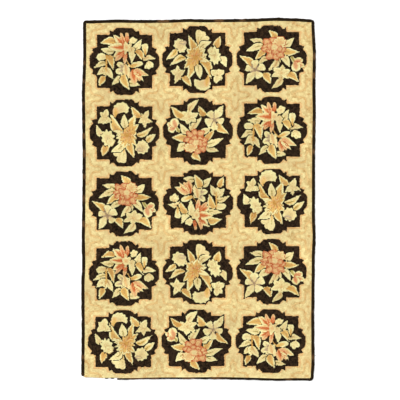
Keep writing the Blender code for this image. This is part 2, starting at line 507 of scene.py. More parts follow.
class Petal(NamedTuple):
    """One leaf or petal, in millimetres from its block's middle.

    root and tip are its two ends. bend is how far its middle bows to the left of the way from root
    to tip, as a share of its length.
    """

    root: Pair
    tip: Pair
    width: float
    tint: Tint
    form: Form = LEAF
    bend: float = 0.0

    def laid(self, patch: Patch, stray: Array) -> tuple[Array, Array, Array, Array]:
        """How each place of a patch lies to the petal.

        Args:
            patch: The block's window of the chart.
            stray: Small shifts of the root's and the tip's x and y, and of the width.

        Returns:
            The share t along it, the way w across from its middle line, the petal's half width at
            t, and how far the place lies before the root or past the tip (less than 0 between them).
        """
        root = np.array(self.root) + stray[:2]
        run = np.array(self.tip) + stray[2:4] - root
        length = float(np.hypot(*run))
        ahead = run / length
        du, dv = patch.u - root[0], patch.v - root[1]
        t = (du * ahead[0] + dv * ahead[1]) / length
        held = np.clip(t, ENDS, 1 - ENDS)
        rise, fall, ogee = self.form.value
        w = np.abs(dv * ahead[0] - du * ahead[1] - self.bend * length * share_of_peak(held, 1, ogee))
        half = (0.5 * self.width * (1 + stray[4]) - TRIM) * share_of_peak(held, rise, fall)
        return held, w, np.maximum(half, LEAST), np.abs(t - 0.5) * length - 0.5 * length

    def draw_outline(self, patch: Patch, stray: Array) -> None:
        """Dyes the petal grown by its outline's width.

        Args:
            patch: The block's window of the chart.
            stray: Small shifts of the root's and the tip's x and y, and of the width.
        """
        if self.tint.outline is not None:
            _, w, half, past = self.laid(patch, stray)
            wide, shade = line_of(self.tint.outline)
            patch.dye((past < wide) & (w < half + wide), self.tint.outline, shade)

    def draw_inside(self, patch: Patch, stray: Array) -> None:
        """Dyes the rim, the hearts, the folds and the vein, each over the last.

        The petal is where w is less than the form's half width. A heart is a share of that, less
        the further along it is, by a power of 1 less t over its end. Every wool lies deep at the
        root and middle and light towards the tip and the edge.

        Args:
            patch: The block's window of the chart.
            stray: Small shifts of the root's and the tip's x and y, and of the width.
        """
        t, w, half, past = self.laid(patch, stray)
        inside = (past < 0) & (w < half)
        strayed = STRAY_LIGHTER * stray[4]
        at_tip, at_edge = RIM_LIGHTER
        patch.dye(inside, self.tint.rim, self.tint.shade + strayed + at_tip * t + at_edge * (w / half) ** 2)
        at_tip, at_edge = HEART_LIGHTER
        for yarn, width, end, shade in self.tint.hearts:
            reach = np.maximum(half * width * np.clip(1 - t / end, 0, 1) ** NARROWING, LEAST)
            patch.dye(inside & (w < reach) & (t > HEART_START), yarn,
                      shade + strayed + at_tip * t / end + at_edge * (w / reach) ** 2)
        if self.tint.fold is not None:
            patch.dye(inside & (w > half - FOLD) & (t < FOLD_END), self.tint.fold, ramp(FOLD_DYE, t))
        if self.tint.vein is not None:
            start, end = VEIN_RUN
            patch.dye(inside & (w < VEIN) & (t > start) & (t < end), self.tint.vein, ramp(VEIN_DYE, t))

    def draw_seam(self, patch: Patch, stray: Array) -> None:
        """Deepens what lies just outside the petal, where that is another petal.

        Args:
            patch: The block's window of the chart.
            stray: Small shifts of the root's and the tip's x and y, and of the width.
        """
        if self.tint.seam is None:
            return
        _, w, half, past = self.laid(patch, stray)
        near = (past < SEAM) & (w < half + SEAM) & (patch.yarn != DARK.value)
        patch.dye(near, self.tint.seam, SEAM_DYE)

    def draw(self, patch: Patch, strays: Strays) -> None:
        """Dyes the petal into a patch, with a line or else a seam round it.

        Args:
            patch: The block's window of the chart.
            strays: The row of small shifts, from which it takes its own.
        """
        stray = strays.following()
        self.draw_outline(patch, stray)
        if self.tint.outline is None:
            self.draw_seam(patch, stray)
        self.draw_inside(patch, stray)


@dataclass(frozen=True)
class Whorl:
    """Petals round a common centre, each a row of (tip's x, tip's y, width)."""

    centre: Pair
    tips: tuple[Triple, ...]
    tint: Tint
    form: Form = LANCE

    def draw(self, patch: Patch, strays: Strays) -> None:
        """Dyes all the outlines first, so that none parts one petal from the next, and then the petals.

        Args:
            patch: The block's window of the chart.
            strays: The row of small shifts, from which it takes its own.
        """
        petals = [(Petal(self.centre, (x, y), width, self.tint, self.form), strays.following())
                  for x, y, width in self.tips]
        for petal, stray in petals:
            petal.draw_outline(patch, stray)
        for petal, stray in petals:
            petal.draw_seam(patch, stray)
            petal.draw_inside(patch, stray)


@dataclass(frozen=True)
class Blossom:
    """An open flower: an ellipse whose edge goes in between its lobes.

    At an angle a round the centre, with s the sine of half the lobes times a, the edge lies at the
    ellipse's reach times 1 less the depth times s squared. The ellipse is turned by some degrees,
    and its edge strays in and out twice a turn.
    """

    centre: Pair
    reach: Pair
    lobes: int
    tint: Tint = IVORY_ROUND
    turned: float = 0.0
    depth: float = 0.16
    uneven: float = 0.05  # how far its edge strays in and out, beside its reach
    sway: float = 3.0  # degrees that it turns for a stray of 1 mm
    roll: float = 3.0  # radians that its stray in and out turns for one

    def draw(self, patch: Patch, strays: Strays) -> None:
        """Dyes the outline, the rim, the hearts, and the lines that part the lobes.

        Args:
            patch: The block's window of the chart.
            strays: The row of small shifts, from which it takes its own.
        """
        stray = strays.following()
        turn = math.radians(self.turned + self.sway * stray[2])
        du, dv = patch.u - self.centre[0] - stray[0], patch.v - self.centre[1] - stray[1]
        p = (du * math.cos(turn) + dv * math.sin(turn)) / self.reach[0]
        q = (dv * math.cos(turn) - du * math.sin(turn)) / self.reach[1]
        angle, out = np.arctan2(q, p), np.hypot(p, q)
        between = self.lobes * angle / 2
        edge = 1 - self.depth * np.sin(between) ** 2 + self.uneven * np.sin(2 * angle + self.roll * stray[3])
        edge = edge * (1 + stray[4])
        size = sum(self.reach) / 2
        if self.tint.outline is not None:
            wide, shade = line_of(self.tint.outline)
            patch.dye(out < edge + wide / size, self.tint.outline, shade)
        share = out / edge
        rim_lighter, heart_lighter = BLOSSOM_LIGHTER
        patch.dye(share < 1, self.tint.rim, self.tint.shade + rim_lighter * share)
        for yarn, width, _, shade in self.tint.hearts:
            patch.dye(share < width, yarn, BLOSSOM_HEART_DYE + shade + heart_lighter * share / width)
        if self.tint.vein is not None:
            near = np.abs(np.cos(between)) * 2 / self.lobes * out * size < VEIN
            start, end = VEIN_OUT
            patch.dye(near & (share > start) & (share < end), self.tint.vein, ramp(BLOSSOM_VEIN_DYE, share))


class Disc(NamedTuple):
    """A round spot of one wool, half as light in the middle as at its edge."""

    centre: Pair
    radius: float
    yarn: Yarn
    shade: float = 0.5

    def draw(self, patch: Patch, strays: Strays) -> None:
        """Dyes the places nearer to the centre than the radius.

        Args:
            patch: The block's window of the chart.
            strays: The row of small shifts, from which it takes its own.
        """
        stray = strays.following()
        away = np.hypot(patch.u - self.centre[0] - stray[0], patch.v - self.centre[1] - stray[1])
        lighter = DISC_MIDDLE + (1 - DISC_MIDDLE) * away / self.radius
        patch.dye(away < self.radius, self.yarn, self.shade * lighter)


LILY_BOUQUET = (
    Petal((-46, 100), (-130, 94), 42, GOLD_LEAF, bend=-0.12),
    Petal((-56, 50), (-128, 62), 38, IVORY_LEAF),
    Blossom((45, 109), (24, 21), 5, turned=25, depth=0.24),
    Petal((22, 64), (91, 121), 46, IVORY_LEAF, bend=-0.26),
    Petal((36, 80), (37, -16), 41, CREAM_PETAL, bend=0.02),
    Petal((56, 54), (103, -9), 40, GOLD_LEAF, bend=0.14),
    Petal((94, 6), (163, 15), 36, YELLOW_LEAF, bend=0.18),
    Petal((104, 24), (106, 92), 36, CUP_PETAL, FAN),
    Petal((125, 8), (125, -12), 12, JOINED_PETAL, ROUND),
    Whorl((123, 0), ((105, -40, 28), (123, -50, 28), (143, -36, 28)), SHELL_PETAL, PETAL),
    Petal((26, -34), (93, -12), 34, CUP_PETAL, PETAL, 0.04),
    Petal((-92, 24), (-145, 20), 44, CREAM_PETAL, PETAL),
    Petal((-88, 34), (-54, -54), 38, GOLD_LEAF, bend=0.10),
    Petal((-92, -12), (-164, -38), 34, IVORY_LEAF, bend=-0.12),
    Whorl((-96, -34), ((-143, -77, 38), (-102, -94, 34), (-59, -99, 38)), YELLOW_LEAF, LEAF),
    Petal((-92, 38), (-96, -64), 12, STEM, ROUND),
    Petal((-109, -80), (-132, -144), 38, GOLD_LEAF),
    Whorl((2, -46), ((-36, -6, 36), (-50, -62, 36), (-20, -80, 26), (24, -26, 26)), LILAC_PETAL, PETAL),
    Petal((0, -16), (14, -100), 42, LILAC_MIDDLE, PETAL),
    Petal((-12, -88), (-71, -137), 38, IVORY_LEAF, bend=-0.08),
    Petal((14, -126), (81, -132), 36, IVORY_LEAF, bend=0.06),
    Petal((-6, -76), (21, -158), 44, GOLD_LEAF, bend=-0.08),
    Petal((8, 10), (42, -36), 8, STEM, ROUND, -0.10),
    Whorl((40, -46), ((53, -118, 40), (78, -108, 20)), COAL_PETAL, PETAL),
    Whorl((46, -46), ((101, -111, 28), (126, -84, 42)), BUD_PETAL, LEAF),
    Petal((58, -60), (86, -82), 9, ROSE_LINE, ROUND, 0.06),
    Whorl((12, 70), ((-64, 18, 46), (-58, 139, 44), (-84, 76, 48)), FLAME_PETAL),
    Whorl((8, 62), ((-48, 2, 24), (-2, -16, 24), (-24, 154, 26), (-2, 128, 16)), PINK_PETAL, PETAL),
    Petal((14, 98), (13, 154), 24, PINK_PETAL, ROUND),
    Whorl((12, 68), ((30, 92, 20), (34, 52, 22), (2, 106, 18), (0, 34, 16)), PLAIN_CREAM, PETAL),
    Blossom((9, 70), (17, 22), 5, dyed(CREAM, (PEACH, 0.5), outline=None)),
)

STAR_BOUQUET = (
    Blossom((-89, 72), (36, 41), 9, dyed(IVORY, (CREAM, 0.80)), turned=25, depth=0.16),
    Petal((-98, 94), (-60, 84), 24, LILAC_SHADOW, ROUND),
    Petal((-104, 92), (-64, 74), 6, FOLD_LINE, ROUND, -0.06),
    Petal((-112, 48), (-164, -2), 38, HONEY_LEAF, bend=0.06),
    Petal((-62, 6), (-147, -38), 38, HONEY_LEAF, bend=-0.14),
    Petal((-21, 46), (-50, 134), 42, GOLD_LEAF, bend=-0.06),
    Whorl((2, 66), ((54, 121, 32), (32, 150, 34), (6, 160, 34)), TRUMPET_PETAL, FAN),
    Petal((12, 56), (75, 102), 42, IVORY_LEAF, bend=0.12),
    Petal((97, 58), (116, 126), 43, AMBER_LEAF, bend=0.04),
    Petal((106, 10), (150, -47), 38, CREAM_PETAL, bend=0.16),
    Blossom((86, 23), (36, 52), 10, IVORY_CLUSTER, turned=16, depth=0.24),
    Blossom((74, 44), (19, 21), 5, dyed(IVORY, (CREAM, 0.60), outline=CREAM), turned=30),
    Petal((82, 44), (92, 0), 5, FOLD_LINE, ROUND, 0.08),
    Petal((12, -8), (76, -110), 46, GOLD_LEAF, bend=0.16),
    Whorl((-100, -78), ((-106, -28, 30), (-148, -60, 32), (-122, -129, 33), (-76, -117, 32), (-62, -54, 32)),
          STAR_PETAL, LEAF),
    Petal((-80, -92), (-30, -149), 40, GOLD_LEAF, bend=0.06),
    Blossom((21, -128), (43, 41), 11, dyed(IVORY, (CREAM, 0.62)), depth=0.10),
    Petal((52, -86), (48, -142), 34, GOLD_SHADOW, ROUND, -0.04),
    Petal((-16, -97), (42, -92), 32, dyed(DARK), ROUND),
    Whorl((102, -86), ((67, -60, 34), (90, -54, 32), (112, -54, 32), (137, -57, 34), (128, -114, 30),
                       (94, -131, 36)), BELL_PETAL),
    Whorl((-10, 10), ((-50, -108, 44), (-72, -48, 38), (-66, -10, 35), (-60, 24, 34), (-58, 58, 38),
                      (-26, 66, 34), (2, 80, 36), (24, 64, 28)), SUN_PETAL),
    Whorl((-10, 10), ((38, 52, 28), (50, 30, 25), (46, 5, 23), (58, -16, 27)), PALE_SUN),
    Petal((0, -28), (8, -112), 42, IVORY_LEAF),
    Whorl((-12, 12), ((-42, -58, 28), (-52, -18, 26), (-50, 24, 26), (-34, 54, 26), (0, 62, 26),
                      (22, 38, 22), (22, 4, 20), (2, -30, 22)), SUN_HEART),
    Disc((-12, 8), 12, GOLD, 0.3),
)


def rose_lobes(*rows: tuple[float, ...]) -> list[Blossom]:
    """The rose's petals, from rows of (x, y, reach across, reach up, lobes, turned, depth)."""
    return [Blossom((x, y), (across, up), lobes, ROSE_LOBE, turned, depth)
            for x, y, across, up, lobes, turned, depth in rows]


ROSE_BOUQUET = (
    Petal((16, 104), (-17, 163), 40, GOLD_LEAF, bend=-0.14),
    Petal((-44, 78), (-112, 106), 40, IVORY_LEAF, bend=-0.10),
    Petal((-40, 66), (-141, 36), 40, IVORY_LEAF, bend=-0.06),
    Petal((-36, 48), (-90, -12), 40, GOLD_LEAF, bend=0.02),
    Petal((56, 70), (112, 111), 44, IVORY_LEAF, bend=-0.08),
    Petal((54, 40), (140, 33), 44, GOLD_LEAF, bend=-0.02),
    Petal((44, 10), (96, -53), 38, IVORY_LEAF, bend=0.12),
    Petal((-14, 0), (-75, -30), 38, IVORY_LEAF, bend=-0.12),
    Petal((36, 0), (30, -46), 28, YELLOW_LEAF, ROUND),
    Petal((24, -8), (-23, -75), 38, YELLOW_LEAF, bend=0.10),
    Petal((-104, -50), (-167, 19), 42, GOLD_LEAF, bend=-0.16),
    Petal((-96, -88), (-136, -144), 40, IVORY_LEAF, bend=-0.06),
    Petal((-42, -84), (-3, -143), 44, GOLD_LEAF, bend=0.10),
    Blossom((-86, -66), (24, 22), 5, PLAIN_CREAM, turned=50),
    Whorl((-86, -64), ((-86, -10, 40), (-134, -54, 36), (-116, -108, 46), (-58, -106, 42), (-40, -42, 46)),
          FOLDED_PETAL, FAN),
    Whorl((46, -79), ((52, -36, 36), (5, -54, 34), (-6, -101, 32), (42, -120, 32), (92, -108, 32),
                      (94, -66, 34)), OPEN_STAR),
    Petal((46, -106), (-7, -171), 40, YELLOW_LEAF._replace(outline=None), bend=0.10),
    Petal((76, -84), (138, -133), 42, JOINED_LEAF, bend=0.12),
    Blossom((46, -80), (9, 7), 5, dyed(TAN, outline=None, shade=0.55)),
    Petal((97, 8), (120, -34), 24, CUP_LEAF, LANCE),
    Whorl((114, -22), ((160, -46, 34), (154, -6, 40), (126, -73, 46)), BLUSH_PETAL, PETAL),
    Petal((122, -18), (158, -31), 6, ROSE_LINE, ROUND, 0.10),
    Blossom((8, 54), (46, 54), 13, dyed(CORAL, outline=None, shade=0.1)),
    *rose_lobes(
        (0, 102, 20, 15, 3, 30, 0.24), (-27, 90, 22, 20, 3, 130, 0.20), (-36, 66, 19, 11, 2, 20, 0.24),
        (-33, 45, 20, 14, 3, 190, 0.20), (-11, 13, 19, 24, 3, 330, 0.24), (17, 6, 14, 20, 2, 10, 0.24),
        (41, 18, 21, 17, 3, 310, 0.24), (54, 42, 17, 13, 2, 20, 0.20), (-12, 38, 16, 11, 3, 160, 0.24)),
    Blossom((36, 84), (33, 30), 9, PALE_FAN, turned=20, depth=0.14),
    *rose_lobes((-13, 66, 14, 20, 3, 20, 0.24), (16, 34, 19, 12, 3, 10, 0.24), (38, 50, 15, 13, 3, 60, 0.24)),
    Blossom((12, 62), (19, 18), 5, ROSE_MIDDLE, depth=0.14),
)


# ------------------------ blocks and lattice


class Crown(NamedTuple):
    """The outline that rises from one side of a block, in millimetres.

    rows are (along the side, out from it). It ends at a spur, whose far side leans outwards.
    """

    rows: tuple
    end: float
    lean: float

    def covers(self, along: Array, out: Array, grown: Array | float) -> Array:
        """Where the crown lies, given places along the side and out from it.

        Args:
            along: How far each place is along the side, from its middle.
            out: How far out from it.
            grown: How much larger than drawn the crown is.

        Returns:
            Whether each place is in it.
        """
        table = np.array(self.rows)
        raised = np.interp(np.clip(along - grown, 0, None), table[:, 0], table[:, 1])
        return (out < raised + grown) & (along < self.end + self.lean * np.clip(out, 0, None) + grown)


@dataclass(frozen=True)
class Block:
    """The dark ground of one flowered block: a square with a crown and two spurs on each side."""

    half: float = 142.6  # of the square's side
    upright: Crown = Crown(
        ((0, 36.5), (38, 36), (44, 33), (51, 25), (56, 17), (60, 15.5), (67, 19), (78, 28)), 76, -0.08)
    level: Crown = Crown(
        ((0, 37), (24, 36.5), (33, 33), (42, 25.5), (48, 19.5), (52, 17.5), (59, 21), (73, 28)), 75, -0.32)
    band: float = 9.2  # the peach band's width
    crown_band: float = 0.45  # how wide the band is along a crown, beside its full width
    band_spread: Pair = (0.95, 0.5)  # its share of that, and how far the mottle shifts it
    band_limits: Pair = (0.25, 1.5)  # between which it stays
    streak: Pair = (24.0, 4.0)  # how far out the lighter streak goes, and how far the mottle shifts it
    streak_dye: Pair = (0.74, 0.16)  # depths of dye, and how far the mottle shifts them
    band_dye: Pair = (0.44, 0.35)
    ground_dye: Pair = (0.5, 0.28)
    reach: float = 0.215  # half the block's window, in metres

    def covers(self, patch: Patch, grown: Array | float = 0.0) -> Array:
        """Where the block lies, grown outwards by some millimetres.

        Args:
            patch: The block's window of the chart.
            grown: How much larger than drawn the block is.

        Returns:
            Whether each place is in it.
        """
        a, b = np.abs(patch.u), np.abs(patch.v)
        inside = np.maximum(a, b) < self.half + grown
        inside |= self.upright.covers(a, b - self.half, grown)
        return inside | self.level.covers(b, a - self.half, grown)

    def draw_surround(self, patch: Patch, mottle: Array) -> None:
        """Lightens the ground in an uneven streak a little outside the block."""
        ring = self.covers(patch, ramp(self.streak, mottle))
        patch.dye(ring, CREAM, ramp(self.streak_dye, mottle))

    def draw_band(self, patch: Patch, mottle: Array) -> None:
        """Lays the uneven peach band along the block's edge.

        Args:
            patch: The block's window of the chart.
            mottle: How far the wool there strays, from about -1 to 1.
        """
        at_crown = np.minimum(np.abs(patch.u), np.abs(patch.v)) < self.upright.end - self.band
        spread = np.clip(ramp(self.band_spread, mottle), *self.band_limits)
        width = self.band * np.where(at_crown, self.crown_band, 1) * spread
        patch.dye(self.covers(patch, width), PEACH, ramp(self.band_dye, mottle))

    def draw_ground(self, patch: Patch, mottle: Array) -> None:
        """Lays the dark ground."""
        patch.dye(self.covers(patch), DARK, ramp(self.ground_dye, mottle))


@dataclass(frozen=True)
class Cross:
    """The fine outline of a cross with pointed arms, drawn between four blocks.

    Its profile is rows of (out along an arm, half width there), in millimetres.
    """

    profile: tuple = (
        (0, 23), (23, 23), (29, 18.5), (38, 16), (54, 15), (63, 13), (69, 9), (74, 4), (77, 1.0), (79, 0))
    line: float = 5.2  # half the outline's width
    dot: Pair = (8.0, 6.5)
    tip: float = 77.0
    tip_dot: float = 6.5
    barb: float = 12.0  # how far the short lines past a tip run, out and to each side
    barb_line: float = 0.7  # their width beside the outline's
    line_stray: float = 0.35  # how far the mottle widens the outline, as a share
    inside_dye: Pair = (0.60, 0.15)  # depths of dye, and how far the mottle shifts them
    line_dye: Pair = (0.94, 0.3)
    barb_dye: Pair = (0.95, 0.3)
    tip_dye: float = 0.72
    dot_dye: float = 0.74
    reach: float = 0.105  # half the cross's window, in metres

    def draw(self, patch: Patch, mottle: Array) -> None:
        """Dyes the inside, its outline, the middle dot and the dots and barbs at the four points.

        With m the larger and n the smaller of the two distances from the axes, the outline is where
        n is the profile's half width at m, give or take the line.

        Args:
            patch: The cross's window of the chart.
            mottle: How far the wool there strays, from about -1 to 1.
        """
        a, b = np.abs(patch.u), np.abs(patch.v)
        out, side = np.maximum(a, b), np.minimum(a, b)
        table = np.array(self.profile)
        half = np.interp(out, table[:, 0], table[:, 1])
        steep = np.hypot(1, np.interp(out, table[:-1, 0], np.diff(table[:, 1]) / np.diff(table[:, 0])))
        gap = (side - half) / steep
        whole = out < table[-1, 0]
        patch.dye(whole & (gap < 0), CREAM, ramp(self.inside_dye, mottle))
        line = self.line * (1 + self.line_stray * mottle)
        patch.dye(whole & (np.abs(gap) < line), TAN, ramp(self.line_dye, mottle))
        past = out - self.tip
        barbs = (np.abs(past - side) < self.barb_line * line) & (past > 0) & (past < self.barb)
        patch.dye(barbs, TAN, ramp(self.barb_dye, mottle))
        patch.dye(np.hypot(past, side) < self.tip_dot, TAN, self.tip_dye)
        patch.dye(np.hypot(patch.u / self.dot[0], patch.v / self.dot[1]) < 1, TAN, self.dot_dye)


class BlockRow(NamedTuple):
    """One row of three blocks, in millimetres: their middles, how long the row is, and its bouquets."""

    middles: tuple[Pair, ...]
    length: float
    bouquets: tuple[tuple, ...]
    turned: tuple[bool, ...]


@dataclass
class Quilt:
    """The five rows of blocks, the lattice between them, and the ground they lie on."""

    chart: Chart
    block: Block = Block()
    cross: Cross = Cross()
    breadth: float = 1.02  # the blocks' width beside their drawing's
    depth: float = 0.98  # and their length
    strays: Strays = field(default_factory=Strays)
    stretch: float = 0.006  # how much a stray of 1 mm stretches a whole bouquet
    block_mottle: Wander = Wander(30, 21)
    apart: float = 500.0  # millimetres from one block's part of that mottle to the next one's
    cross_mottle: tuple[float, int] = (26, 41)  # its wavelength, and the first cross's seed
    ground_dye: float = 0.48
    ground_mottles: tuple[tuple[float, Wander], ...] = ((0.10, Wander(0.5, 31)), (0.20, Wander(0.045, 32)))
    # Each way out, as x and y: where a change of the ground's shade starts, over how far, and how much.
    # The one to the right is painted shade, of light falling off across the rug; the left and near ones are
    # lighter margins.
    painted_falloff_and_margins: tuple[tuple[float, ...], ...] = (
        (1, 0, 0.45, 0.15, -0.22), (-1, 0, 0.56, 0.03, 0.34), (0, -1, 0.87, 0.03, 0.42))
    rows: tuple[BlockRow, ...] = (
        BlockRow(((-387, 722), (-4, 732), (385, 736)), 1.0,
                 (LILY_BOUQUET, STAR_BOUQUET, ROSE_BOUQUET), (False, False, False)),
        BlockRow(((-387, 347), (-1, 355), (387, 361)), 1.0,
                 (STAR_BOUQUET, ROSE_BOUQUET, LILY_BOUQUET), (True, True, False)),
        BlockRow(((-389, -25), (0, -17), (388, -13)), 0.97,
                 (ROSE_BOUQUET, LILY_BOUQUET, STAR_BOUQUET), (False, True, True)),
        BlockRow(((-389, -392), (-3, -384), (385, -382)), 0.965,
                 (LILY_BOUQUET, STAR_BOUQUET, ROSE_BOUQUET), (False, False, False)),
        BlockRow(((-394, -750), (-9, -746), (380, -746)), 0.945,
                 (STAR_BOUQUET, ROSE_BOUQUET, LILY_BOUQUET), (True, True, False)),
    )

    def draw(self) -> None:
        """Dyes the ground, the surrounds, the crosses, the bands, the dark grounds and the flowers."""
        self.draw_ground()
        blocks = [(self.patch_of(row, i), row.bouquets[i]) for row in self.rows for i in range(3)]
        mottles = [self.block_mottle.at(patch.u + self.apart * i, patch.v)
                   for i, (patch, _) in enumerate(blocks)]
        for (patch, _), mottle in zip(blocks, mottles):
            self.block.draw_surround(patch, mottle)
        self.draw_crosses()
        for (patch, _), mottle in zip(blocks, mottles):
            self.block.draw_band(patch, mottle)
        for (patch, _), mottle in zip(blocks, mottles):
            self.block.draw_ground(patch, mottle)
        for patch, bouquet in blocks:
            strayed = self.strays.following()
            patch.u = patch.u * (1 + self.stretch * strayed[2]) + strayed[0]
            patch.v = patch.v * (1 + self.stretch * strayed[3]) + strayed[1]
            for motif in bouquet:
                motif.draw(patch, self.strays)

    def patch_of(self, row: BlockRow, i: int) -> Patch:
        """The window of one block.

        Args:
            row: Its row.
            i: Its number in the row, from the left.

        Returns:
            The block's patch.
        """
        centre = tuple(value * MM for value in row.middles[i])
        stretch = (self.breadth, self.depth * row.length)
        return self.chart.patch(centre, self.block.reach, stretch, row.turned[i])

    def draw_ground(self) -> None:
        """Mottles the cream ground: a little deeper at the right, as painted shade of light falling off, and
        lighter at the left and near edges.

        A margin's change grows evenly from its start to the end of its run, and stays there.
        """
        x, y = np.meshgrid(self.chart.x, self.chart.y)
        drift = sum(share * wander.at(x, y) for share, wander in self.ground_mottles)
        shade = self.ground_dye + drift
        for way_x, way_y, start, run, change in self.painted_falloff_and_margins:
            shade = shade + change * np.clip((way_x * x + way_y * y - start) / run, 0, 1)
        self.chart.shade[:] = shade

    def draw_crosses(self) -> None:
        """Draws a cross at each meeting of four blocks, the outer ones cut by the rug's edge.

        The blocks' middles are carried on by one row and one column each way, and each cross lies at
        the mean of the four middles round it.
        """
        middles = np.array([row.middles for row in self.rows], float)
        for _ in range(2):
            wider = [2 * middles[:1] - middles[1:2], middles, 2 * middles[-1:] - middles[-2:-1]]
            middles = np.concatenate(wider).swapaxes(0, 1)
        crosses = (middles[1:, 1:] + middles[:-1, 1:] + middles[1:, :-1] + middles[:-1, :-1]) / 4
        for i, centre in enumerate(crosses.reshape(-1, 2)):
            patch = self.chart.patch(tuple(centre * MM), self.cross.reach)
            wavelength, first = self.cross_mottle
            self.cross.draw(patch, Wander(wavelength, first + i).at(patch.u, patch.v))


# ------------------------ making meshes and materials


def grid_faces(rows: int, columns: int, round_it: bool = False) -> Array:
    """The quads of a grid of points, numbered row by row, counter-clockwise with rows going up.

    Args:
        rows: How many rows of points there are.
        columns: How many points a row has.
        round_it: Whether the last column joins the first.

    Returns:
        One row of four point numbers for each quad.
    """
    across = columns if round_it else columns - 1
    row, column = np.meshgrid(np.arange(rows - 1), np.arange(across), indexing="ij")
    following = (column + 1) % columns
    quads = [row * columns + column, row * columns + following,
             (row + 1) * columns + following, (row + 1) * columns + column]
    return np.stack([quad.ravel() for quad in quads], axis=1)


def tube_faces(rings: int, sides: int, tubes: int = 1) -> list[Array]:
    """The walls and the two end caps of some tubes whose points follow on from each other.

    A tube's points go ring by ring, each ring from its right-hand side over the top as seen along it.

    Args:
        rings: How many rings of points a tube has.
        sides: How many points a ring has.
        tubes: How many tubes there are.

    Returns:
        The quads of the walls, and the caps.
    """
    walls = grid_faces(rings, sides, round_it=True)[:, ::-1]
    caps = np.stack([np.arange(sides), (rings - 1) * sides + np.arange(sides)[::-1]])
    first = (np.arange(tubes) * rings * sides)[:, None, None]
    return [(walls + first).reshape(-1, 4), (caps + first).reshape(-1, sides)]


def add_object(name: str, data: bpy.types.ID) -> Piece:
    """Adds an object to the scene.

    Args:
        name: Its name.
        data: Its mesh, lamp or camera.

    Returns:
        The object.
    """
    made = bpy.data.objects.new(name, data)
    bpy.context.scene.collection.objects.link(made)
    return made


def make_piece(name: str, points: Array, faces: list[Array], material: bpy.types.Material) -> Piece:
    """Makes one smooth-shaded piece that rides on the rug's body.

    Args:
        name: The piece's name.
        points: Rows of x, y and z.
        faces: Arrays of point numbers, each with as many columns as its faces have corners.
        material: The finish.

    Returns:
        The piece.
    """
    mesh = bpy.data.meshes.new(name)
    corners = np.concatenate([part.ravel() for part in faces]).astype(np.int32)
    totals = np.concatenate([np.full(len(part), part.shape[1], np.int32) for part in faces])
    mesh.vertices.add(len(points))
    mesh.vertices.foreach_set("co", np.ascontiguousarray(points, np.float32).ravel())
    mesh.loops.add(len(corners))
    mesh.loops.foreach_set("vertex_index", corners)
    mesh.polygons.add(len(totals))
    mesh.polygons.foreach_set("loop_start", np.concatenate([[0], totals.cumsum()[:-1]]).astype(np.int32))
    mesh.polygons.foreach_set("loop_total", totals)
    mesh.update(calc_edges=True)
    mesh.shade_smooth()
    mesh.materials.append(material)
    piece = add_object(name, mesh)
    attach(piece, BODY)
    LOG.info("%s: %d triangles", name, int((totals - 2).sum()))
    return piece


def set_values(piece: Piece, name: str, domain: str, values: Array) -> None:
    """Stores one number, or one colour, for each point or face of a piece.

    Args:
        piece: The piece.
        name: The name that its material reads.
        domain: POINT or FACE.
        values: A number, or a row of four, for each.
    """
    coloured = values.ndim == 2
    layer = piece.data.attributes.new(name, "FLOAT_COLOR" if coloured else "FLOAT", domain)
    layer.data.foreach_set("color" if coloured else "value", np.ascontiguousarray(values, np.float32).ravel())


def set_plan_map(piece: Piece) -> None:
    """Gives a flat piece the map seen from above, fitted to its own box.

    Args:
        piece: The piece.
    """
    mesh = piece.data
    points = np.empty(len(mesh.vertices) * 3, np.float32)
    mesh.vertices.foreach_get("co", points)
    plan = points.reshape(-1, 3)[:, :2]
    low, high = plan.min(axis=0), plan.max(axis=0)
    corners = np.empty(len(mesh.loops), np.int32)
    mesh.loops.foreach_get("vertex_index", corners)
    places = (MAP_INSET + (1 - 2 * MAP_INSET) * (plan - low) / (high - low))[corners]
    mesh.uv_layers.new(name="OFBake").data.foreach_set("uv", places.astype(np.float32).ravel())


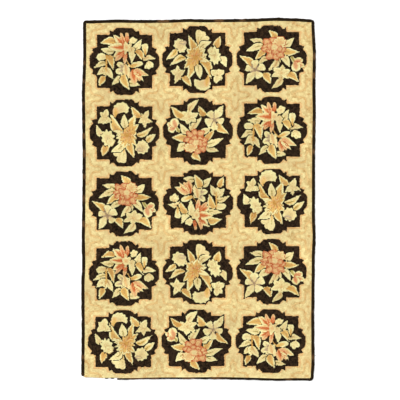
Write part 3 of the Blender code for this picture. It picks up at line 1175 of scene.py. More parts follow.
class Nodes:
    """A material's nodes, added one at a time and joined as they are added."""

    def __init__(self, name: str) -> None:
        """Starts a material that holds only its shader and output.

        Args:
            name: The material's name.
        """
        self.material = bpy.data.materials.new(name)
        self.material.use_nodes = True
        self.tree = self.material.node_tree
        self.shader = self.tree.nodes["Principled BSDF"]

    def add(self, kind: str, inputs: dict | None = None, **settings: object) -> bpy.types.Node:
        """Adds a node.

        Args:
            kind: The node's type, without its ShaderNode prefix.
            inputs: Numbers, colours or other nodes' sockets, by input name or number.
            settings: The node's own properties.

        Returns:
            The node.
        """
        node = self.tree.nodes.new("ShaderNode" + kind)
        for key, value in settings.items():
            setattr(node, key, value)
        for key, value in (inputs or {}).items():
            self.feed(node.inputs[key], value)
        return node

    def feed(self, socket: Socket, value: object) -> None:
        """Joins a socket to another one, or sets its number or colour.

        Args:
            socket: A node's input.
            value: What it is given.
        """
        if isinstance(value, Socket):
            self.tree.links.new(value, socket)
        else:
            socket.default_value = value

    def values(self, name: str) -> Socket:
        """The number stored on the mesh under a name."""
        return self.add("Attribute", attribute_name=name).outputs["Fac"]

    def maths(self, operation: str, a: object, b: object, clamp: bool = False) -> Socket:
        """One sum, with its result held between 0 and 1 if clamp is set."""
        return self.add("Math", {0: a, 1: b}, operation=operation, use_clamp=clamp).outputs[0]

    def noise(self, scale: float, stretch: Triple = (1, 1, 1), detail: float = 2.0) \
            -> Socket:
        """Noise on Object coordinates, from 0 to 1: scale is per metre, drawn out by stretch.

        Args:
            scale: Its scale.
            stretch: How much finer it is along each axis.
            detail: How many finer noises lie on it.

        Returns:
            Its value's socket.
        """
        places = self.add("TexCoord").outputs["Object"]
        laid = self.add("Mapping", {"Vector": places, "Scale": stretch}).outputs[0]
        return self.add("TexNoise", {"Vector": laid, "Scale": scale, "Detail": detail}).outputs["Fac"]

    def blend(self, share: object, first: object, second: object) -> Socket:
        """A colour between two.

        Args:
            share: From 0, the first, to 1, the second.
            first: A socket, or a dye as it looks.
            second: Likewise.

        Returns:
            The blended colour's socket.
        """
        inputs = {0: share}
        for key, colour in ((6, first), (7, second)):
            inputs[key] = colour if isinstance(colour, Socket) else (*as_seen(*colour), 1)
        return self.add("Mix", inputs, data_type="RGBA").outputs[2]

    def remap(self, value: Socket, came: Pair, goes: Pair) \
            -> Socket:
        """A value brought from one range to another, and held in it.

        Args:
            value: The socket.
            came: The first range's two ends.
            goes: The other's.

        Returns:
            The new value's socket.
        """
        ends = {"From Min": came[0], "From Max": came[1], "To Min": goes[0], "To Max": goes[1]}
        return self.add("MapRange", {"Value": value, **ends}).outputs[0]

    def dim(self, colour: Socket, share: Socket) -> Socket:
        """A colour times a number."""
        return self.add("VectorMath", {0: colour, "Scale": share}, operation="SCALE").outputs[0]

    def bump(self, height: Socket, strength: float, distance: float) -> None:
        """Bumps the surface by a height."""
        raised = self.add("Bump", {"Height": height, "Strength": strength, "Distance": distance})
        self.tree.links.new(raised.outputs[0], self.shader.inputs["Normal"])

    def finish(self, colour: Socket, roughness: float, sheen: float, gloss: float = 0.12) \
            -> bpy.types.Material:
        """Sets the shader's plain values and its colour.

        Args:
            colour: The colour's socket.
            roughness: The shader's own.
            sheen: How much sheen it has.
            gloss: Its specular level.

        Returns:
            The material.
        """
        self.feed(self.shader.inputs["Base Color"], colour)
        self.shader.inputs["Roughness"].default_value = roughness
        self.shader.inputs["Specular IOR Level"].default_value = gloss
        self.shader.inputs["Sheen Weight"].default_value = sheen
        self.shader.inputs["Sheen Roughness"].default_value = SHEEN_ROUGHNESS
        return self.material


@dataclass(frozen=True)
class PileWool:
    """A dyed wool as loops: shade runs from its deep dye to its light one, with fibres and painted shade in
    the hollows.

    The fibres are noise drawn out along the rows, and the hollows get painted shade by how low they
    lie. Wool from another dye lot shows in slow patches.
    """

    slot: str
    deep: Triple
    light: Triple
    lot: Triple
    fibres: float = 2300.0  # each of these scales is per metre
    fibre_run: float = 0.28  # how much coarser a fibre is along the rows
    fading: float = 22.0
    lots: float = 13.0
    fibre_share: float = 0.9  # how far the fibres' noise shifts the shade
    fading_share: float = 0.30
    lot_range: Pair = (0.45, 0.65)  # the noise over which another lot sets in
    lot_share: float = 0.5
    painted_hollow_shade: float = 0.50  # painted shade: how light the lowest wool is painted beside the highest
    relief: float = 0.5
    relief_height: float = 0.3 * MM
    roughness: float = 0.92
    sheen: float = 0.06
    gloss: float = 0.10
    stray: float = 0.11  # how unlike the shades of its loops are

    def material(self) -> bpy.types.Material:
        """The wool's material.

        Returns:
            The material.
        """
        nodes = Nodes(self.slot)
        fibre = nodes.noise(self.fibres, (self.fibre_run, 1, 1))
        fading = nodes.noise(self.fading, detail=3.0)
        strayed = nodes.values("shade")
        for noise, share in ((fibre, self.fibre_share), (fading, self.fading_share)):
            strayed = nodes.add("Math", {0: noise, 1: share, 2: strayed}, operation="MULTIPLY_ADD").outputs[0]
        share = nodes.maths("SUBTRACT", strayed, (self.fibre_share + self.fading_share) / 2, clamp=True)
        colour = nodes.blend(share, self.deep, self.light)
        patchy = nodes.remap(nodes.noise(self.lots, detail=3.0), self.lot_range, (0.0, self.lot_share))
        colour = nodes.blend(patchy, colour, self.lot)
        # Painted shade: the lower a point lies, the darker the wool is painted, down to the hollow shade.
        painted_shade = nodes.remap(nodes.values("height"), (0.0, 1.0), (self.painted_hollow_shade, 1.0))
        nodes.bump(fibre, self.relief, self.relief_height)
        return nodes.finish(nodes.dim(colour, painted_shade), self.roughness, self.sheen, self.gloss)


WOOLS = {
    CREAM: PileWool("wool_cream", (206, 170, 106), (253, 236, 170), (232, 202, 142)),
    DARK: PileWool("wool_dark", (23, 16, 11), (65, 49, 33), (49, 37, 26), sheen=0.0, gloss=0.04, stray=0.42),
    PEACH: PileWool("wool_peach", (214, 160, 94), (248, 210, 146), (236, 190, 128)),
    TAN: PileWool("wool_tan", (178, 126, 62), (238, 204, 138), (216, 170, 104)),
    IVORY: PileWool("wool_ivory", (214, 190, 116), (253, 244, 180), (240, 222, 152)),
    GOLD: PileWool("wool_gold", (188, 128, 52), (248, 208, 124), (224, 172, 86)),
    CORAL: PileWool("wool_coral", (178, 80, 35), (242, 156, 94), (214, 114, 58)),
    PINK: PileWool("wool_pink", (206, 128, 80), (242, 188, 134), (226, 160, 110)),
    LILAC: PileWool("wool_lilac", (156, 128, 96), (216, 192, 150), (188, 160, 122)),
    OLIVE: PileWool("wool_olive", (134, 116, 46), (204, 188, 104), (166, 148, 72)),
}


@dataclass(frozen=True)
class WhippingYarn:
    """Near-black wool wound over the edge: fibres along each wrap, painted shade in its dips, rubbed brown
    here and there.
    """

    slot: str = "edge_yarn"
    deep: Triple = (13, 8, 3)
    light: Triple = (48, 36, 20)
    rubbed: Triple = (112, 80, 50)
    fibres: float = 1300.0  # per metre
    relief: float = 0.4
    relief_height: float = 0.3 * MM
    roughness: float = 0.9
    gloss: float = 0.05

    def material(self) -> bpy.types.Material:
        """The yarn's material.

        Returns:
            The material.
        """
        nodes = Nodes(self.slot)
        fibre = nodes.noise(self.fibres)
        # Painted shade: deep in the dips between wraps and light on their crests, by the ridge's height times
        # the fibres.
        share = nodes.maths("MULTIPLY", fibre, nodes.values("height"), clamp=True)
        wool = nodes.blend(share, self.deep, self.light)
        colour = nodes.blend(nodes.values("rub"), wool, self.rubbed)
        nodes.bump(fibre, self.relief, self.relief_height)
        return nodes.finish(colour, self.roughness, 0.0, self.gloss)


@dataclass(frozen=True)
class BackedCloth:
    """The foundation: jute weave, and the wools' flat stitches showing through it from the front."""

    slot: str = "foundation_cloth"
    jute_deep: Triple = (132, 104, 66)
    jute_light: Triple = (196, 168, 120)
    weave: float = 1.5 * MM
    tangle: float = 1.2  # how far the threads stray from straight
    mottle: float = 700.0  # per metre
    shown: Pair = (0.55, 0.95)  # the threads' height over which the jute hides the dye
    relief: float = 0.6
    relief_height: float = 0.4 * MM
    roughness: float = 0.95
    sheen: float = 0.05

    def material(self) -> bpy.types.Material:
        """The cloth's material: the dye stored on the mesh, crossed by threads of jute.

        Returns:
            The material.
        """
        nodes = Nodes(self.slot)
        places = nodes.add("TexCoord").outputs["Object"]
        pull = 1 / self.weave / (2 * math.pi) * 2  # which sets the threads about a weave apart
        threads = [
            nodes.add("TexWave", {"Vector": places, "Scale": pull, "Distortion": self.tangle, "Detail": 1.0},
                      bands_direction=axis).outputs["Fac"]
            for axis in ("X", "Y")
        ]
        crossed = nodes.maths("MAXIMUM", *threads)
        jute = nodes.blend(nodes.noise(self.mottle), self.jute_deep, self.jute_light)
        dye = nodes.add("Attribute", attribute_name="dye").outputs["Color"]
        shown = nodes.remap(crossed, self.shown, (0.0, 1.0))
        nodes.bump(crossed, self.relief, self.relief_height)
        return nodes.finish(nodes.blend(shown, dye, jute), self.roughness, self.sheen)


# ------------------------ the rug's pieces


@dataclass
class LoopPile:
    """The hooked loops, in rows across the rug, each row half a loop along from the last.

    A loop is a low peak on four cells of a fine mesh: its crown in the middle, a dip to the next loop
    in its row, and a deeper valley to the next row. Points near a colour line are drawn on to it, so
    that the loops follow the pattern's outlines as hooked ones do.
    """

    outline: FieldOutline
    chart: Chart
    pitch: float = 4.75 * MM
    crown: float = 7.9 * MM
    dip: float = 6.0 * MM
    valley: float = 4.9 * MM
    foot: float = 2.0 * MM
    tucked: float = 6.6 * MM  # the field's edge where the whipping holds it
    lapped: int = 2  # half loops from the left and the far edge that lie under the whipping
    bare_end: float = -0.42  # how far along the near side the whipping is worn away
    lean: float = 0.6 * MM  # how far the outermost loops of the near side lean out to the whipping
    lean_change: float = 2.0 * MM  # how much less that is right of its middle
    ragged: float = 0.35 * MM  # how unlike the loops' heights are
    uneven: float = 0.35 * MM  # long swells of the whole pile
    sways: tuple[Wander, ...] = (Wander(0.07, 51), Wander(0.09, 52))  # long waves, in x and in y
    sway: float = 0.9 * MM  # how far they shift a point
    swell: Wander = Wander(0.25, 53)
    jitter: float = 0.16 * MM  # how far chance shifts it
    free: int = 6  # how many half loops from the edge they reach their full stray
    pull: float = 1.05 * MM  # how far a point may be drawn to a colour line
    crown_pull: float = 0.25  # how far a crown may be, beside the other points
    window: float = 0.5  # half the window in which lines are sought, in loops
    yarn_window: float = 0.3  # likewise, for a loop's own yarn
    lean_start: float = 0.02  # how far past the bare end the lean is whole
    bare_foot_shade_height: float = 0.7  # the height the bare edge's foot takes for the painted hollow shade, so it is painted lighter than a valley
    foot_top: float = 1.1  # how high that foot reaches, beside its own height
    seed: int = 7

    def __post_init__(self) -> None:
        """Counts the loops that fit."""
        size = self.outline.high - self.outline.low
        self.columns, self.rows = (int(round(length / self.pitch)) for length in size)

    def places(self) -> Array:
        """Every point of the fine mesh.

        x and y run evenly over the outline, strayed by long waves and by chance, and are then drawn
        to the colour lines. z is the crown's, dip's or valley's height, by where in the loop the
        point lies. Under the laps it is no more than the tucked one, and at the field's edge it is
        the foot's or, where the whipping holds it, the tucked one. The outermost loops of the near
        side lean out to the whipping, less the further right they lie.

        Returns:
            Rows of x, y and z.
        """
        draw = np.random.default_rng(self.seed)
        last_i, last_j = 2 * self.columns, 2 * self.rows
        j, i = np.meshgrid(np.arange(last_j + 1), np.arange(last_i + 1), indexing="ij")
        x, y = self.outline.place(i / last_i, j / last_j)
        from_edge = np.minimum(np.minimum(i, last_i - i), np.minimum(j, last_j - j))
        inner = np.clip(from_edge, 0, self.free) / self.free
        sway_x, sway_y = self.sways
        x = x + inner * (self.sway * sway_x.at(x, y) + draw.normal(0, self.jitter, x.shape))
        y = y + inner * (self.sway * sway_y.at(x, y) + draw.normal(0, self.jitter, x.shape))
        at_crown = (j % 2 == 1) & ((i + j // 2) % 2 == 1)
        shift_x, shift_y = self.chart.pull_to_lines(x, y, self.window * self.pitch)
        held = np.where(at_crown, self.crown_pull, 1.0) * inner
        x = x + np.clip(shift_x, -self.pull, self.pull) * held
        y = y + np.clip(shift_y, -self.pull, self.pull) * held
        z = np.where(at_crown, self.crown, np.where(j % 2 == 1, self.dip, self.valley))
        z = z + np.clip(draw.normal(0, self.ragged, z.shape), -2 * self.ragged, 2 * self.ragged)
        z = z + self.uneven * self.swell.at(x, y)
        whipped = np.clip((x - self.bare_end) / self.lean_start, 0, 1) * np.clip(1 - j / self.free, 0, 1)
        y = y - whipped * np.maximum(self.lean - self.lean_change * right_of_middle(x), 0)
        under = (i <= self.lapped) | (j >= last_j - self.lapped)
        z = np.where(under, np.minimum(z, self.tucked), z)
        rim = (i == 0) | (j == 0) | (i == last_i) | (j == last_j)
        z[rim] = self.tucked
        z[(j == 0) & (x < self.bare_end)] = self.foot
        return np.stack([x.ravel(), y.ravel(), z.ravel()], axis=1)

    def loops(self) -> tuple[Array, Array, Array]:
        """The two triangles of every cell, the loop that each belongs to, and its crown's point.

        A cell's triangles meet at its crown's corner, so that each loop is a fan round its crown.

        Returns:
            The triangles, the loop numbers and the crown points, one of each for every triangle.
        """
        width = 2 * self.columns + 1
        j, i = (part.ravel() for part in np.meshgrid(
            np.arange(2 * self.rows), np.arange(2 * self.columns), indexing="ij"))
        row = j // 2
        low = j * width + i
        corners = np.stack([low, low + 1, low + width + 1, low + width], axis=1)
        right = (i + 1 + row) % 2 == 1
        first = np.where(j % 2 == 0, np.where(right, 2, 3), np.where(right, 1, 0))
        turned = np.take_along_axis(corners, (first[:, None] + np.arange(4)) % 4, axis=1)
        triangles = np.concatenate([turned[:, [0, 1, 2]], turned[:, [0, 2, 3]]])
        loop = row * (self.columns + 1) + (i + row % 2) // 2
        return triangles, np.tile(loop, 2), np.tile(turned[:, 0], 2)

    def build(self) -> list[Piece]:
        """Makes one or more pieces of each wool.

        A loop takes the yarn and the shade of the chart at its crown, and its shade strays by chance.

        Returns:
            The pieces.
        """
        points = self.places()
        triangles, loop, crown = self.loops()
        middle = np.zeros((self.rows * (self.columns + 1), 2))
        middle[loop] = points[crown, :2]
        yarn = self.chart.main_yarn(middle[:, 0], middle[:, 1], self.yarn_window * self.pitch)
        draw = np.random.default_rng(self.seed + 1)
        strays = np.array([wool.stray for wool in WOOLS.values()])
        shade = self.chart.shade[self.chart.index(middle[:, 0], middle[:, 1])]
        shade = shade + strays[yarn] * draw.normal(0, 1, len(middle))
        # A point's height, from 0 in a valley to 1 on a crown, sets how much painted shade the wool's
        # material gives it.
        height = np.clip((points[:, 2] - self.valley) / (self.crown - self.valley), 0, 1)
        height = np.where(points[:, 2] < self.foot_top * self.foot, self.bare_foot_shade_height, height)
        pieces = []
        for kind, wool in WOOLS.items():
            chosen = np.flatnonzero(yarn[loop] == kind.value)
            chosen = chosen[np.argsort(triangles[chosen, 0], kind="stable")]
            material = wool.material()
            for n, part in enumerate(np.array_split(chosen, -(-len(chosen) // MOST_TRIANGLES))):
                used, corners = np.unique(triangles[part], return_inverse=True)
                name = f"pile_{kind.name.lower()}_{n + 1}"
                piece = make_piece(name, points[used], [corners.reshape(-1, 3)], material)
                set_values(piece, "shade", "FACE", shade[loop[part]])
                set_values(piece, "height", "POINT", height[used])
                set_plan_map(piece)
                pieces.append(piece)
        return pieces


@dataclass
class Foundation:
    """The cloth that the loops are hooked through: a thin closed sheet, the field's size."""

    outline: FieldOutline
    chart: Chart
    under: float = 0.3 * MM
    over: float = 1.8 * MM
    cell: float = 12.0 * MM

    def build(self) -> Piece:
        """Makes the sheet: a grid over the outline at two heights, joined round the rim.

        Each point keeps the chart's dye there, between its wool's deep and light ones by its shade.

        Returns:
            The piece.
        """
        size = self.outline.high - self.outline.low
        columns, rows = (int(round(length / self.cell)) for length in size)
        t, s = np.meshgrid(np.linspace(0, 1, rows + 1), np.linspace(0, 1, columns + 1), indexing="ij")
        x, y = (part.ravel() for part in self.outline.place(s, t))
        layers = [np.stack([x, y, np.full(x.shape, z)], axis=1) for z in (self.under, self.over)]
        quads = grid_faces(rows + 1, columns + 1)
        count = len(x)
        number = np.arange(count).reshape(rows + 1, columns + 1)
        rim = np.concatenate([number[0], number[1:, -1], number[-1, -2::-1], number[-2:0:-1, 0]])
        ahead = np.roll(rim, -1)
        wall = np.stack([rim, ahead, ahead + count, rim + count], axis=1)
        finish = BackedCloth()
        piece = make_piece("foundation_cloth", np.concatenate(layers), [quads[:, ::-1], quads + count, wall],
                           finish.material())
        dyes = np.array([[as_seen(*wool.deep), as_seen(*wool.light)] for wool in WOOLS.values()])
        here = self.chart.index(x, y)
        share = np.clip(self.chart.shade[here], 0, 1)[:, None]
        dye = dyes[self.chart.yarn[here]]
        colour = dye[:, 0] * (1 - share) + dye[:, 1] * share
        set_values(piece, "dye", "POINT", np.tile(np.column_stack([colour, np.ones(count)]), (2, 1)))
        return piece


@dataclass
class EdgeWhipping:
    """Yarn wound over the edge: a flattened tube along the CAD edge piece, ridged by its wraps.

    The tube's middle line and half width come from the piece's outermost and innermost rings of
    points. A ridge rises and falls once a wrap, and the wraps lean, so a point near the outer edge
    lies a little further along than one near the field. On the near side it widens to the right.
    """

    wrap: float = 5.0 * MM
    steps: int = 3  # rings to a wrap
    sides: int = 12
    top: float = 9.0 * MM
    ridge: float = 0.10  # a wrap's rise, as a share of the section
    usual: float = 0.6  # the share of a ridge at which the section keeps its size
    lean: float = 2.2 * MM  # how far along a wrap's outer side lies past its inner one, each way
    lap: tuple[float, ...] = (6.0 * MM, 0.0, 6.0 * MM, -0.3 * MM)  # over the left, right, far, near loops
    out: tuple[float, ...] = (0.0, 3.6 * MM, 1.2 * MM, 2.8 * MM)  # how far it hangs past the CAD edge
    near_growth: float = 2.0 * MM  # how much wider the near side is right of its middle, each way
    uneven: float = 0.03  # how unlike the wraps' sizes are
    wrap_slack: float = 0.2 * MM  # how far out a single wrap strays
    slack: float = 0.6 * MM  # and a whole stretch of them
    stretches: Wander = Wander(0.06, 61)
    lowest: float = 0.05 * MM
    outer_height: float = 2.52 * MM  # of the CAD piece's outermost ring
    inner_height: float = 1.62 * MM
    same: float = 0.02 * MM  # within which a point lies on a ring
    near_end: Pair = (-0.52, -0.94)  # where the worn place starts, seen from the middle
    taper: float = 9.0 * MM
    end_size: float = 0.55  # of the section at the two ends
    squareness: float = 0.75  # the section's power: 1 is an ellipse, 0 a box
    inner_squareness: float = 0.35  # over the field
    field_side: float = -0.1  # the cosine below which the section lies over the field
    middle_height: float = 0.99  # the section's middle and half height, beside half the top
    half_height: float = 0.96
    near_rub: float = 0.9  # the near side's own rub, at the most
    near_fall: Pair = (0.4, -2.5)  # its share at the middle, and how it changes with x
    patches: Wander = Wander(0.11, 62)  # of rubbed yarn
    patch_shift: float = -0.75
    most_rub: float = 0.6
    crest_rub: Pair = (0.25, 0.85)  # in a dip, and how much more on a crest
    seed: int = 17

    def rings(self) -> tuple[Array, Array]:
        """The outer and the inner line of the CAD edge piece, in order from its near end.

        Returns:
            Rows of x and y for each.
        """
        points = node_points(EDGE_NODE)
        first = np.arctan2(self.near_end[1], self.near_end[0])
        lines = []
        for height in (self.outer_height, self.inner_height):
            level = np.abs(points[:, 2] - height) < self.same
            line = np.unique(np.round(points[level, :2], DIGITS), axis=0)
            turn = np.mod(np.arctan2(line[:, 1], line[:, 0]) - first, 2 * np.pi)
            lines.append(line[np.argsort(turn)])
        return lines[0], lines[1]

    def build(self) -> Piece:
        """Makes the tube with its two closed ends.

        At an angle a round the section, the half width goes as the cosine of a and the half height
        as its sine, each to a power that squares the section off. Both swell with each wrap's ridge.

        Returns:
            The piece.
        """
        outer, inner = self.rings()
        middle, across = (outer + inner) / 2, (outer - inner) / 2
        run = run_along(middle)
        count = int(run[-1] / self.wrap * self.steps)
        along = np.linspace(0, run[-1], count)[:, None]
        turn = turns_of(self.sides)[None, :]
        place = np.clip(along - self.lean * np.cos(turn), 0, run[-1])
        draw = np.random.default_rng(self.seed)
        wraps = draw.normal(0, 1, (int(run[-1] / self.wrap) + 3, 2))
        number = np.clip((along / self.wrap).astype(int), 0, len(wraps) - 1)[:, 0]
        ridge = np.abs(np.sin(np.pi * along / self.wrap))
        swell = 1 + self.ridge * (ridge - self.usual) + self.uneven * wraps[number, :1]
        ends = np.minimum(along, run[-1] - along) / self.taper
        swell = swell * (self.end_size + (1 - self.end_size) * np.clip(ends, 0, 1) ** 0.5)
        wide = np.sign(np.cos(turn)) * np.abs(np.cos(turn)) ** self.squareness * swell
        over_field = (np.cos(turn) < self.field_side) & (np.sin(turn) > 0)
        full = np.where(over_field, self.inner_squareness, self.squareness)
        tall = np.sign(np.sin(turn)) * np.abs(np.sin(turn)) ** full * swell
        x, y, reach_x, reach_y = (np.interp(place, run, part) for part in (*middle.T, *across.T))
        width = np.hypot(reach_x, reach_y)
        slack = self.wrap_slack * wraps[number, 1:] + self.slack * self.stretches.at(along, 0 * along)
        slack = slack * (wide > 0)
        facing = np.clip(np.stack([-reach_x, reach_x, reach_y, -reach_y]) / width, 0, 1) ** 2
        lap, out = (np.tensordot(np.array(part), facing, 1) for part in (self.lap, self.out))
        grown = self.near_growth * facing[3] * right_of_middle(x)
        more = wide * (1 + (lap * (wide < 0) + out * (wide > 0) + grown) / width) + slack / width
        z = np.maximum(self.top / 2 * (self.middle_height + self.half_height * tall), self.lowest)
        points = np.stack([x + reach_x * more, y + reach_y * more, z], axis=2).reshape(-1, 3)
        yarn = WhippingYarn()
        piece = make_piece("edge_whipping", points, tube_faces(count, self.sides), yarn.material())
        # Each point's share of its wrap's ridge, by which the yarn's material paints shade into the dips
        # between wraps.
        ridge = np.broadcast_to(ridge, place.shape)
        set_values(piece, "height", "POINT", ridge.ravel())
        worn = self.near_rub * facing[3] * np.clip(ramp(self.near_fall, x), 0, 1)
        rub = np.clip(self.patches.at(x, y) + self.patch_shift + worn, 0, self.most_rub)
        rub = rub * (tall > 0) * ramp(self.crest_rub, ridge)
        set_values(piece, "rub", "POINT", rub.ravel())
        return piece


@dataclass
class WornEdge:
    """What is left where the whipping is worn away: two bits of it, frayed cloth, and one loose end.

    A strand is a thin tube from its root to its tip, bowed to the right and lifted in the middle.
    """

    outline: FieldOutline
    bits: tuple[Pair, ...] = ((-0.4900, -0.4725), (-0.4605, -0.4425))
    bit_height: float = 7.6 * MM
    bit_half_width: float = 3.4 * MM
    bit_out: float = 0.8 * MM  # how far out from the cloth's edge its middle lies
    bit_taper: float = 2.5 * MM
    bit_end: float = 0.45  # of the section at the two ends
    bit_swell: Pair = (0.84, 0.20)  # in a dip, and how much more on a ridge
    bit_flat: float = 0.96
    bit_rub: float = 0.3
    bit_rings: int = 16
    bit_sides: int = 10
    wrap: float = 3.6 * MM
    frayed: Pair = (-0.592, -0.432)  # the stretch of the near edge with threads
    threads: int = 110
    longest: float = 6.5 * MM
    shortest: float = 0.25  # of the longest
    rooted: float = 1.2 * MM  # how far in from the cloth's edge one starts
    root_height: Pair = (0.9, 2.2)  # in millimetres, least and most, as the next two are
    tip_height: Pair = (0.4, 1.6)
    lift: Pair = (0, 0.8)
    aside: float = 1.6 * MM  # how far to a side a tip strays
    bow: float = 0.7 * MM
    narrowing: float = 0.6  # how much thinner a strand's tip is than its root
    bare_wool: Pair = (0.6, 0.4)  # how much of a thread's dye is light, at most, and deep
    thread_radius: float = 0.28 * MM
    rings: int = 5  # of a thread
    sides: int = 5
    loose_root: Triple = (0.609, -0.818, 4.5 * MM)
    loose_run: Triple = (11.5, -2.0, -3.6)  # in millimetres
    loose_bow: float = 1.8 * MM
    loose_lift: float = 1.0 * MM
    loose_radius: float = 0.7 * MM
    seed: int = 23

    def near_y(self, x: Array) -> Array:
        """How far along the field's near edge lies at x."""
        side = self.outline.sides["near"]
        return np.interp(x, side[:, 0], side[:, 1])

    def strands(self, roots: Array, tips: Array, bow: Array, lift: Array,
                radius: Array, rings: int | None = None, sides: int | None = None) -> Array:
        """The points of some strands, one after the other.

        Args:
            roots: Each strand's start, as x, y and z.
            tips: Each strand's end.
            bow: How far its middle lies to the right of the straight way.
            lift: How far its middle lies above the straight way.
            radius: Its radius, which narrows to its tip.
            rings: How many rings a strand has, if it isn't a thread's number.
            sides: How many points a ring has, likewise.

        Returns:
            Rows of x, y and z.
        """
        t = np.linspace(0, 1, rings or self.rings)[None, :, None, None]
        turn = turns_of(sides or self.sides)[None, None, :, None]
        run = tips - roots
        ahead = run / np.linalg.norm(run, axis=1, keepdims=True)
        right = np.stack([ahead[:, 1], -ahead[:, 0], 0 * ahead[:, 0]], axis=1)
        up = np.cross(right, ahead)
        roots, run, right, up = (part[:, None, None, :] for part in (roots, run, right, up))
        bow, lift, radius = (part[:, None, None, None] for part in (bow, lift, radius))
        middle = roots + run * t + (right * bow + np.array([0, 0, 1]) * lift) * 4 * t * (1 - t)
        ring = radius * (1 - self.narrowing * t) * (np.cos(turn) * right + np.sin(turn) * up)
        return (middle + ring).reshape(-1, 3)

    def fray(self) -> Piece:
        """Short threads of the cloth's weave that stand out from the bare edge, between the two bits.

        Returns:
            The piece.
        """
        draw = np.random.default_rng(self.seed)
        x = draw.uniform(*self.frayed, self.threads)
        bare = ~np.any([(x > start) & (x < end) for start, end in self.bits], axis=0)
        x = x[bare]
        count = len(x)
        heights = draw.uniform(*self.root_height, count) * MM
        roots = np.stack([x, self.near_y(x) + self.rooted, heights], axis=1)
        reach = (self.shortest + (1 - self.shortest) * draw.random(count) ** 2) * self.longest
        tips = roots + np.stack([draw.normal(0, self.aside, count), -reach - self.rooted, 0 * x], axis=1)
        tips[:, 2] = draw.uniform(*self.tip_height, count) * MM
        bow, lift = draw.normal(0, self.bow, count), draw.uniform(*self.lift, count) * MM
        points = self.strands(roots, tips, bow, lift, np.full(count, self.thread_radius))
        finish = BackedCloth()
        faces = tube_faces(self.rings, self.sides, count)
        piece = make_piece("frayed_threads", points, faces, finish.material())
        light, deep = (np.array(as_seen(*dye)) for dye in (WOOLS[CREAM].light, WOOLS[CREAM].deep))
        at_most, always = self.bare_wool
        dye = draw.uniform(0, 1, (count, 1)) * light * at_most + always * deep
        each = np.column_stack([dye, np.ones(count)])
        set_values(piece, "dye", "POINT", np.repeat(each, self.rings * self.sides, axis=0))
        return piece

    def leave_bits(self) -> Piece:
        """Two short lengths of the old whipping that still hold, and a loose end at the right edge.

        Each is a tube with a ridge for each wrap, narrower at its two ends.

        Returns:
            The piece.
        """
        rings, sides = self.bit_rings, self.bit_sides
        turn = turns_of(sides)[None, :]
        parts, heights = [], []
        for start, end in self.bits:
            x = np.linspace(start, end, rings)[:, None]
            ends = np.clip(np.minimum(x - start, end - x) / self.bit_taper, 0, 1)
            ridge = np.abs(np.sin(np.pi * (x - start) / self.wrap))
            swell = (self.bit_end + (1 - self.bit_end) * ends**0.5) * ramp(self.bit_swell, ridge)
            heights.append(np.broadcast_to(ridge, (rings, sides)).ravel())
            y = self.near_y(x) - self.bit_out - self.bit_half_width * np.cos(turn) * swell
            z = self.bit_height / 2 * (1 + self.bit_flat * np.sin(turn) * swell)
            parts.append(np.stack([x + 0 * turn, y, z], axis=2).reshape(-1, 3))
        root = np.array([self.loose_root])
        tip = root + np.array([self.loose_run]) * MM
        sizes = (np.array([size]) for size in (self.loose_bow, self.loose_lift, self.loose_radius))
        parts.append(self.strands(root, tip, *sizes, rings, sides))
        height = np.concatenate([*heights, np.ones(rings * sides)])
        yarn = WhippingYarn()
        faces = tube_faces(rings, sides, len(parts))
        piece = make_piece("loose_stitches", np.concatenate(parts), faces, yarn.material())
        # The ridges' height: the yarn's material paints shade into the dips by it, and the rub lies on the
        # crests.
        set_values(piece, "height", "POINT", height)
        set_values(piece, "rub", "POINT", self.bit_rub * height)
        return piece


# ------------------------ the studio


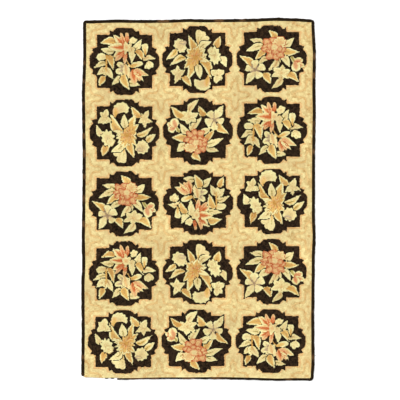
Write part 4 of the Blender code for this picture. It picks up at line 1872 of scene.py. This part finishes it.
@dataclass
class Studio:
    """A plain pale floor, soft light from all round, and a camera straight above the rug."""

    view_width: float = 2.098  # what the picture's side covers at the loops' height
    height: float = 4.5
    middle: Pair = (0.0094, -0.0052)
    rug_height: float = 8 * MM
    far: float = 100.0  # the end of what the camera sees
    floor_side: float = 14.0
    floor_level: float = -0.3 * MM
    floor_colour: tuple[float, ...] = (0.86, 0.86, 0.86, 1)
    floor_roughness: float = 0.9
    white: tuple[float, ...] = (1, 1, 1, 1)
    surround: float = 0.98
    lamp_energy: float = 2.62
    lamp_angle: float = 35.0
    lamp_place: Triple = (-2.2, 2.6, 3.6)

    def lay_floor(self) -> None:
        """Lays the floor."""
        half = self.floor_side / 2
        mesh = bpy.data.meshes.new("floor")
        corners = ((-half, -half), (half, -half), (half, half), (-half, half))
        mesh.from_pydata([(x, y, self.floor_level) for x, y in corners], [], [(0, 1, 2, 3)])
        nodes = Nodes("pale_floor")
        nodes.shader.inputs["Base Color"].default_value = self.floor_colour
        nodes.shader.inputs["Roughness"].default_value = self.floor_roughness
        mesh.materials.append(nodes.material)
        add_object("floor", mesh)

    def light(self) -> None:
        """Sets an even white surround and one broad soft lamp far off, up and to the left."""
        world = bpy.data.worlds.new("studio")
        world.use_nodes = True
        background = world.node_tree.nodes["Background"]
        background.inputs["Color"].default_value = self.white
        background.inputs["Strength"].default_value = self.surround
        bpy.context.scene.world = world
        lamp = bpy.data.lights.new("soft_lamp", "SUN")
        lamp.energy = self.lamp_energy
        lamp.angle = math.radians(self.lamp_angle)
        holder = add_object("soft_lamp", lamp)
        holder.location = self.lamp_place
        holder.rotation_euler = (-holder.location).to_track_quat("-Z", "Y").to_euler()
        bpy.context.scene.view_settings.view_transform = "Standard"

    def aim(self) -> None:
        """Puts the camera straight above, wide enough for the picture."""
        camera = bpy.data.cameras.new("camera")
        camera.angle = 2 * math.atan(self.view_width / 2 / self.height)
        camera.clip_end = self.far
        holder = add_object("camera", camera)
        holder.location = (*self.middle, self.height + self.rug_height)
        bpy.context.scene.camera = holder

    def set_up(self) -> None:
        """Makes the floor, the light and the camera."""
        self.lay_floor()
        self.light()
        self.aim()


def main() -> None:
    """Charts the pattern, builds the rug's pieces round the frame, and sets up the studio."""
    logging.basicConfig(level=logging.INFO, format="%(name)s: %(message)s")
    outline = FieldOutline()
    chart = Chart(outline.low, outline.high)
    Quilt(chart).draw()
    LOG.info("charted %d by %d places", *chart.yarn.shape)
    pile = LoopPile(outline, chart).build()
    cloth = Foundation(outline, chart).build()
    whipping = EdgeWhipping().build()
    worn = WornEdge(outline)
    trims = [whipping, worn.leave_bits(), worn.fray()]
    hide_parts(FIELD_NODE)
    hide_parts(EDGE_NODE)
    Studio().set_up()


if __name__ == "__main__":
    main()
